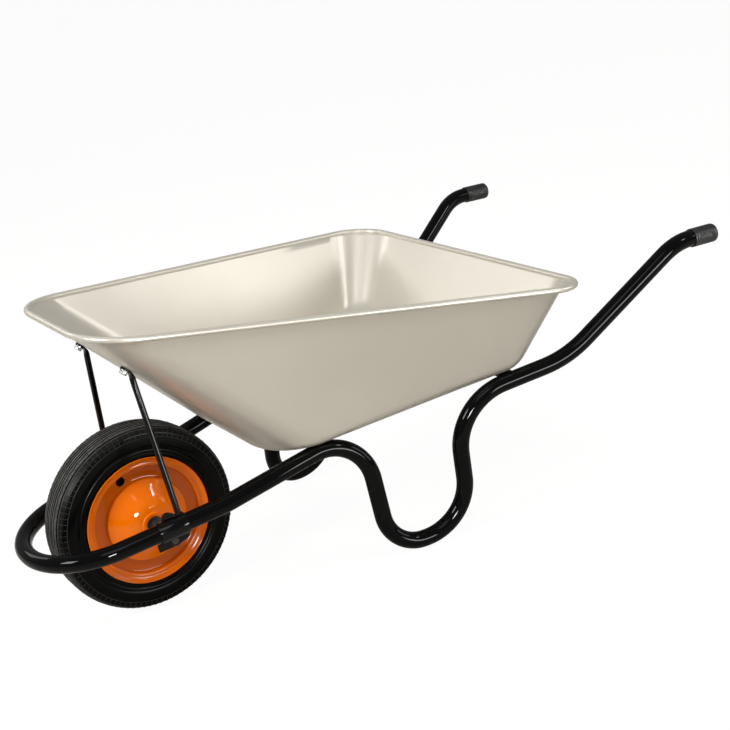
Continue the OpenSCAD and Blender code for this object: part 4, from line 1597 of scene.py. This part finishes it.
    def build(self) -> None:
        """Copies the pitch round the wheel, closes the seams and marks the greyer rib tops."""
        obj = self.pitch()
        Bench.edit(obj)
        bpy.ops.mesh.spin(
            steps=self.pitches - 1, dupli=True, angle=math.tau * (self.pitches - 1) / self.pitches,
            center=(0, 0, 0), axis=(0, 0, 1), use_auto_merge=False,
        )
        bpy.ops.mesh.select_all(action="SELECT")
        bpy.ops.mesh.remove_doubles(threshold=self.merge_within * MM)
        Bench.close()
        mark(obj, self.tone)
        Bench.place(obj, ON_AXLE)
        Label("tyre_tread", ("tyre",), "tyre_rubber", Finish.RUBBER, 32, Body.WHEEL).put_on(obj)


@dataclass
class Rim:
    """The two pressed discs of the rim, with their domes, collars and rolled flanges."""

    disc_half_w: float = 34
    collar_half_w: float = 64
    collar_r: float = 20.8
    dome_r: float = 73
    band_r: float = 104
    flange_r: float = 112.6
    hole_r: float = 14.4
    bush_len: float = 15
    bush_r: float = 9.6
    bush_clear: float = 0.05
    sheet: float = 1.6
    dome_steps: int = 22
    valve_r: float = 8.2
    valve_angle: float = 20
    valve_in: float = 10.3
    valve_up: float = 8.8
    valve_roll: float = 0.9
    pit_depth: float = 8
    # Shares of painted shade on the lip and on the collar; the bottom of the pit gets it in full.
    lip_painted_shade: float = 0.35
    collar_painted_shade: float = 0.75

    @property
    def low(self) -> float:
        """Distance from the wheel's middle to the disc's outer plain."""
        return self.disc_half_w - 0.8

    def face(self) -> list[tuple[float, float]]:
        """Works out the disc's outer face from its hole to its flange.

        Returns:
            The points, as (radius, distance from the middle).
        """
        top, neck = self.collar_half_w, self.collar_r
        points = [
            (self.hole_r, top - 3), (self.hole_r, top - 0.7), (self.hole_r + 0.6, top), (neck - 2.2, top),
            (neck - 0.9, top - 0.4), (neck, top - 1.6), (neck + 0.2, top - 3.2),
        ]
        rise = top - 4 - self.disc_half_w
        for step in range(self.dome_steps + 1):
            t = step / self.dome_steps
            wave = (1 + math.cos(math.pi * t)) / 2
            height = self.disc_half_w + rise * mix(wave, 1 - t ** 2.3, 0.45)
            points.append((mix(neck + 1, self.dome_r, t), height))
        dome, band, flange, low = self.dome_r, self.band_r, self.flange_r, self.low
        pit = low - self.pit_depth
        points += [
            (dome + 0.7, pit + 2.0), (dome + 1.6, pit + 0.4), (dome + 3.0, pit), (band - 9.5, pit),
            (band - 8.3, pit + 0.6), (band - 7.4, pit + 3.0), (band - 6.6, low + 1.6),
            (band - 5.2, low + 2.8), (band - 2.6, low + 3.0), (band - 1.2, low + 2.4),
            (band + 0.6, low + 2.5), (band + 3.2, low + 4.0), (band + 5.6, low + 5.9),
            (flange - 1.6, low + 7.4), (flange - 0.6, low + 7.8), (flange + 0.3, low + 7.5),
            (flange + 0.6, low + 6.6), (flange, low + 5.6),
        ]
        return points

    def pierce(self, disc: bpy.types.Object) -> bpy.types.Object:
        """Cuts the valve hole into a disc and rolls its edge.

        Args:
            disc: The left disc, with the axle along Z.

        Returns:
            The disc with its hole.
        """
        turn = Matrix.Rotation(math.radians(-90 - self.valve_angle), 4, "Z")
        middle = self.band_r - self.valve_in - self.valve_r
        at = turn @ Matrix.Translation(mm(middle, 0, -self.disc_half_w + self.valve_up))
        Bench.carve(disc, Bench.cylinder(self.valve_r, 12, 48, at))
        roll = []
        for degrees in range(0, 360, 30):
            angle = math.radians(degrees)
            out = self.valve_r + self.valve_roll * (1 + math.cos(angle))
            roll.append((out, self.valve_roll * math.sin(angle)))
        ring = lathe("valve_ring", roll, 48)
        Bench.place(ring, at)
        return Bench.join([disc, ring])

    def tone(self, place: Vector) -> float:
        """How much painted shade a place gets: more the deeper it lies in the pressing, with a share on the
        lip and on the collar.

        Args:
            place: A vertex's place, with the axle along Z.

        Returns:
            0 on the dome, 1 at the bottom of the pressing.
        """
        radius, out = math.hypot(place.x, place.y) / MM, abs(place.z) / MM
        # Painted shade: a fixed share on the collar, none on the dome, a share on the lip, and more with
        # depth down to the bottom of the pit.
        if radius <= self.dome_r - 2:
            return self.collar_painted_shade if radius < self.collar_r + 0.1 else 0.0
        lip = self.lip_painted_shade if radius > self.band_r - 8 else 0.0
        return max(min((self.low + 1.6 - out) / 6, 1), lip)

    def bush(self) -> bpy.types.Object:
        """Turns the flanged bush in the disc's hole.

        Returns:
            The bush.
        """
        top, bore, flange = self.collar_half_w - 0.6, AXLE_R + self.bush_clear, self.hole_r - 0.3
        low = top - self.bush_len
        return lathe("hub_bush", [
            (bore, low), (bore, top - 0.4), (bore + 0.4, top), (flange - 0.4, top), (flange, top - 0.4),
            (flange, top - 1.6), (self.bush_r, top - 1.6), (self.bush_r, low),
        ], 64)

    def build(self) -> None:
        """Builds the right disc, its mirrored copy with the valve hole, and the bushes."""
        face = self.face()
        right = lathe("rim_disc", face + [(r, y - self.sheet) for r, y in reversed(face[:-3])], 144)
        left = Bench.copy(right, FLIP)
        Bench.outwards(left)
        label = Label("rim_pressing", ("rim_disc",), "rim_paint", Finish.RIM, 40, Body.WHEEL)
        for obj, side in ((right, "_right"), (self.pierce(left), "_left")):
            # The tone attribute carries the rim's painted shade.
            mark(obj, self.tone)
            Bench.place(obj, ON_AXLE)
            label.put_on(obj, side)
        label = Label("hub_bush_pair", ("hub_bushes",), "bush_nylon", Finish.BUSH, 40, Body.WHEEL)
        label.on_ends(self.bush())


# The setting


@dataclass(frozen=True)
class Surround:
    """A white surround for the camera and a dimmer one as light and in reflections; the darker overhead
    level meant for reflections stays under the light level and so has no effect.
    """

    light: float = 0.3
    horizon: tuple[float, float] = (0.02, 0.3)
    overhead: tuple[float, float] = (0.38, 0.07)

    def build(self) -> None:
        """Builds the world."""
        world = bpy.data.worlds.new("surround")
        bpy.context.scene.world = world
        world.use_nodes = True
        sky = Nodes(world.node_tree)
        height = sky.add("SeparateXYZ", {0: sky.add("TexCoord", {}, "Generated")}, "Z")
        low, high = self.horizon, self.overhead
        shade = sky.spread(height, low[0], high[0], low[1], high[1])
        mirrored = sky.maths("MAXIMUM", sky.ray("Glossy"), sky.ray("Transmission"))
        lit = sky.maths("MAXIMUM", sky.maths("MULTIPLY", mirrored, shade), self.light)
        background = world.node_tree.nodes["Background"]
        sky.feed(background.inputs[0], (1, 1, 1))
        sky.feed(background.inputs[1], sky.maths("MAXIMUM", lit, sky.ray("Camera")))


@dataclass(frozen=True)
class PaleFloor:
    """A white floor that keeps a faint shadow."""

    size: float = 80
    drop: float = 0.0006
    colour: Colour = (0.55, 0.53, 0.49)
    glow: float = 1.09
    glow_share: float = 0.87

    def build(self) -> None:
        """Lays the floor."""
        Bench.clear()
        bpy.ops.mesh.primitive_plane_add(size=self.size, location=(0, 0, -self.drop))
        floor = bpy.context.object
        floor.name = "floor"
        paint = Paint("floor_white")
        paint.set(Base_Color=self.colour, Roughness=0.9, Specular_IOR_Level=0.0)
        glow = paint.add("Emission", {"Color": (1.0, 1.0, 1.0), "Strength": self.glow})
        share = paint.maths("MULTIPLY", paint.ray("Camera"), self.glow_share)
        both = paint.add("MixShader", {0: share, 1: paint.shader.outputs[0], 2: glow})
        paint.feed(paint.tree.nodes["Material Output"].inputs[0], both)
        floor.data.materials.append(paint.material)


class Shows(Enum):
    """Where a lamp shows."""

    EVERYWHERE = "everywhere"
    IN_GLOSS = "in gloss"
    ON_MATT = "on matt"


@dataclass(frozen=True)
class Softbox:
    """A rectangular lamp that faces the barrow's middle, in metres and watts."""

    name: str
    at: tuple[float, float, float]
    width: float
    height: float
    power: float
    shows: Shows = Shows.EVERYWHERE
    aim: tuple[float, float, float] = (0, 0, 0.3)

    def build(self) -> None:
        """Adds the lamp."""
        data = bpy.data.lights.new(self.name, "AREA")
        data.shape = "RECTANGLE"
        data.size, data.size_y, data.energy = self.width, self.height, self.power
        lamp = bpy.data.objects.new(self.name, data)
        bpy.context.collection.objects.link(lamp)
        lamp.location = self.at
        lamp.rotation_euler = (Vector(self.aim) - Vector(self.at)).to_track_quat("-Z", "Y").to_euler()
        lamp.visible_camera = False
        lamp.visible_diffuse = self.shows is not Shows.IN_GLOSS
        lamp.visible_glossy = self.shows is not Shows.ON_MATT


LAMPS = (
    Softbox("key", (-2.9, -0.4, 2.05), 0.8, 0.9, 60),
    Softbox("front_high", (-1.0, -1.75, 2.5), 1.3, 1.1, 12),
    Softbox("right", (1.6, -2.1, 2.2), 0.7, 0.7, 34, Shows.ON_MATT),
    Softbox("side", (2.7, -1.7, 1.05), 0.9, 1.4, 18),
    Softbox("top", (-0.9, 0.5, 2.9), 2.2, 1.6, 42, Shows.ON_MATT),
    Softbox("back", (-1.3, 2.0, 1.75), 0.9, 0.8, 8),
    Softbox("card_front", (0.55, -2.3, 0.30), 0.75, 0.45, 25, Shows.IN_GLOSS),
    Softbox("card_corner", (-1.15, -2.35, 0.62), 0.42, 0.42, 60, Shows.IN_GLOSS),
    Softbox("card_right", (1.6, -2.1, 2.1), 0.30, 0.30, 9, Shows.IN_GLOSS),
)


@dataclass(frozen=True)
class View:
    """The camera: a heading in degrees, a place from the axle in millimetres and a lens."""

    azimuth: float = -27.949
    elevation: float = 19.418
    roll: float = -10.516
    at: tuple[float, float, float] = (-744.7, -2200.1, 1204.8)
    lens: float = 71.26668
    sensor: float = 36
    shift: tuple[float, float] = (0.05, -0.02)

    def build(self) -> None:
        """Adds the camera."""
        az, el, roll = (math.radians(angle) for angle in (self.azimuth, self.elevation, self.roll))
        back = Vector((math.sin(az) * math.cos(el), -math.cos(az) * math.cos(el), math.sin(el)))
        level = Vector((0, 0, 1)).cross(back).normalized()
        rise = back.cross(level)
        right = level * math.cos(roll) + rise * math.sin(roll)
        up = rise * math.cos(roll) - level * math.sin(roll)
        data = bpy.data.cameras.new("camera")
        data.sensor_width = self.sensor
        data.lens = self.lens
        data.shift_x, data.shift_y = self.shift
        data.clip_end = 50
        camera = bpy.data.objects.new("camera", data)
        bpy.context.collection.objects.link(camera)
        camera.matrix_world = axes_at(right, up, back, station(*self.at))
        bpy.context.scene.camera = camera


def main() -> None:
    """Builds the barrow piece by piece, then its setting."""
    logging.basicConfig(level=logging.INFO, format="%(name)s: %(message)s")
    bpy.context.scene.view_settings.view_transform = "Standard"
    View().build()
    tray = Tray()
    tubes = TubeFrame(tray)
    stays = Stays(tray, tubes)
    for assembly in (tray, tubes, stays, Brackets(tubes, stays), AxleSet(), Grips(tubes), Tyre(), Rim()):
        assembly.build()
    dress(["tray_bolts", "tray_washers", "tray_nuts"], Finish.ZINC)
    dress(["cross_strap_front", "cross_strap_rear"], Finish.STRAP)
    dress(["axle_clips"], Finish.CLIP)
    dress(["axle_spacers"], Finish.BUSH)
    dress(["rim_band", "hub_tube"], Finish.RIM)
    for item in (Surround(), PaleFloor(), *LAMPS):
        item.build()


if __name__ == "__main__":
    main()
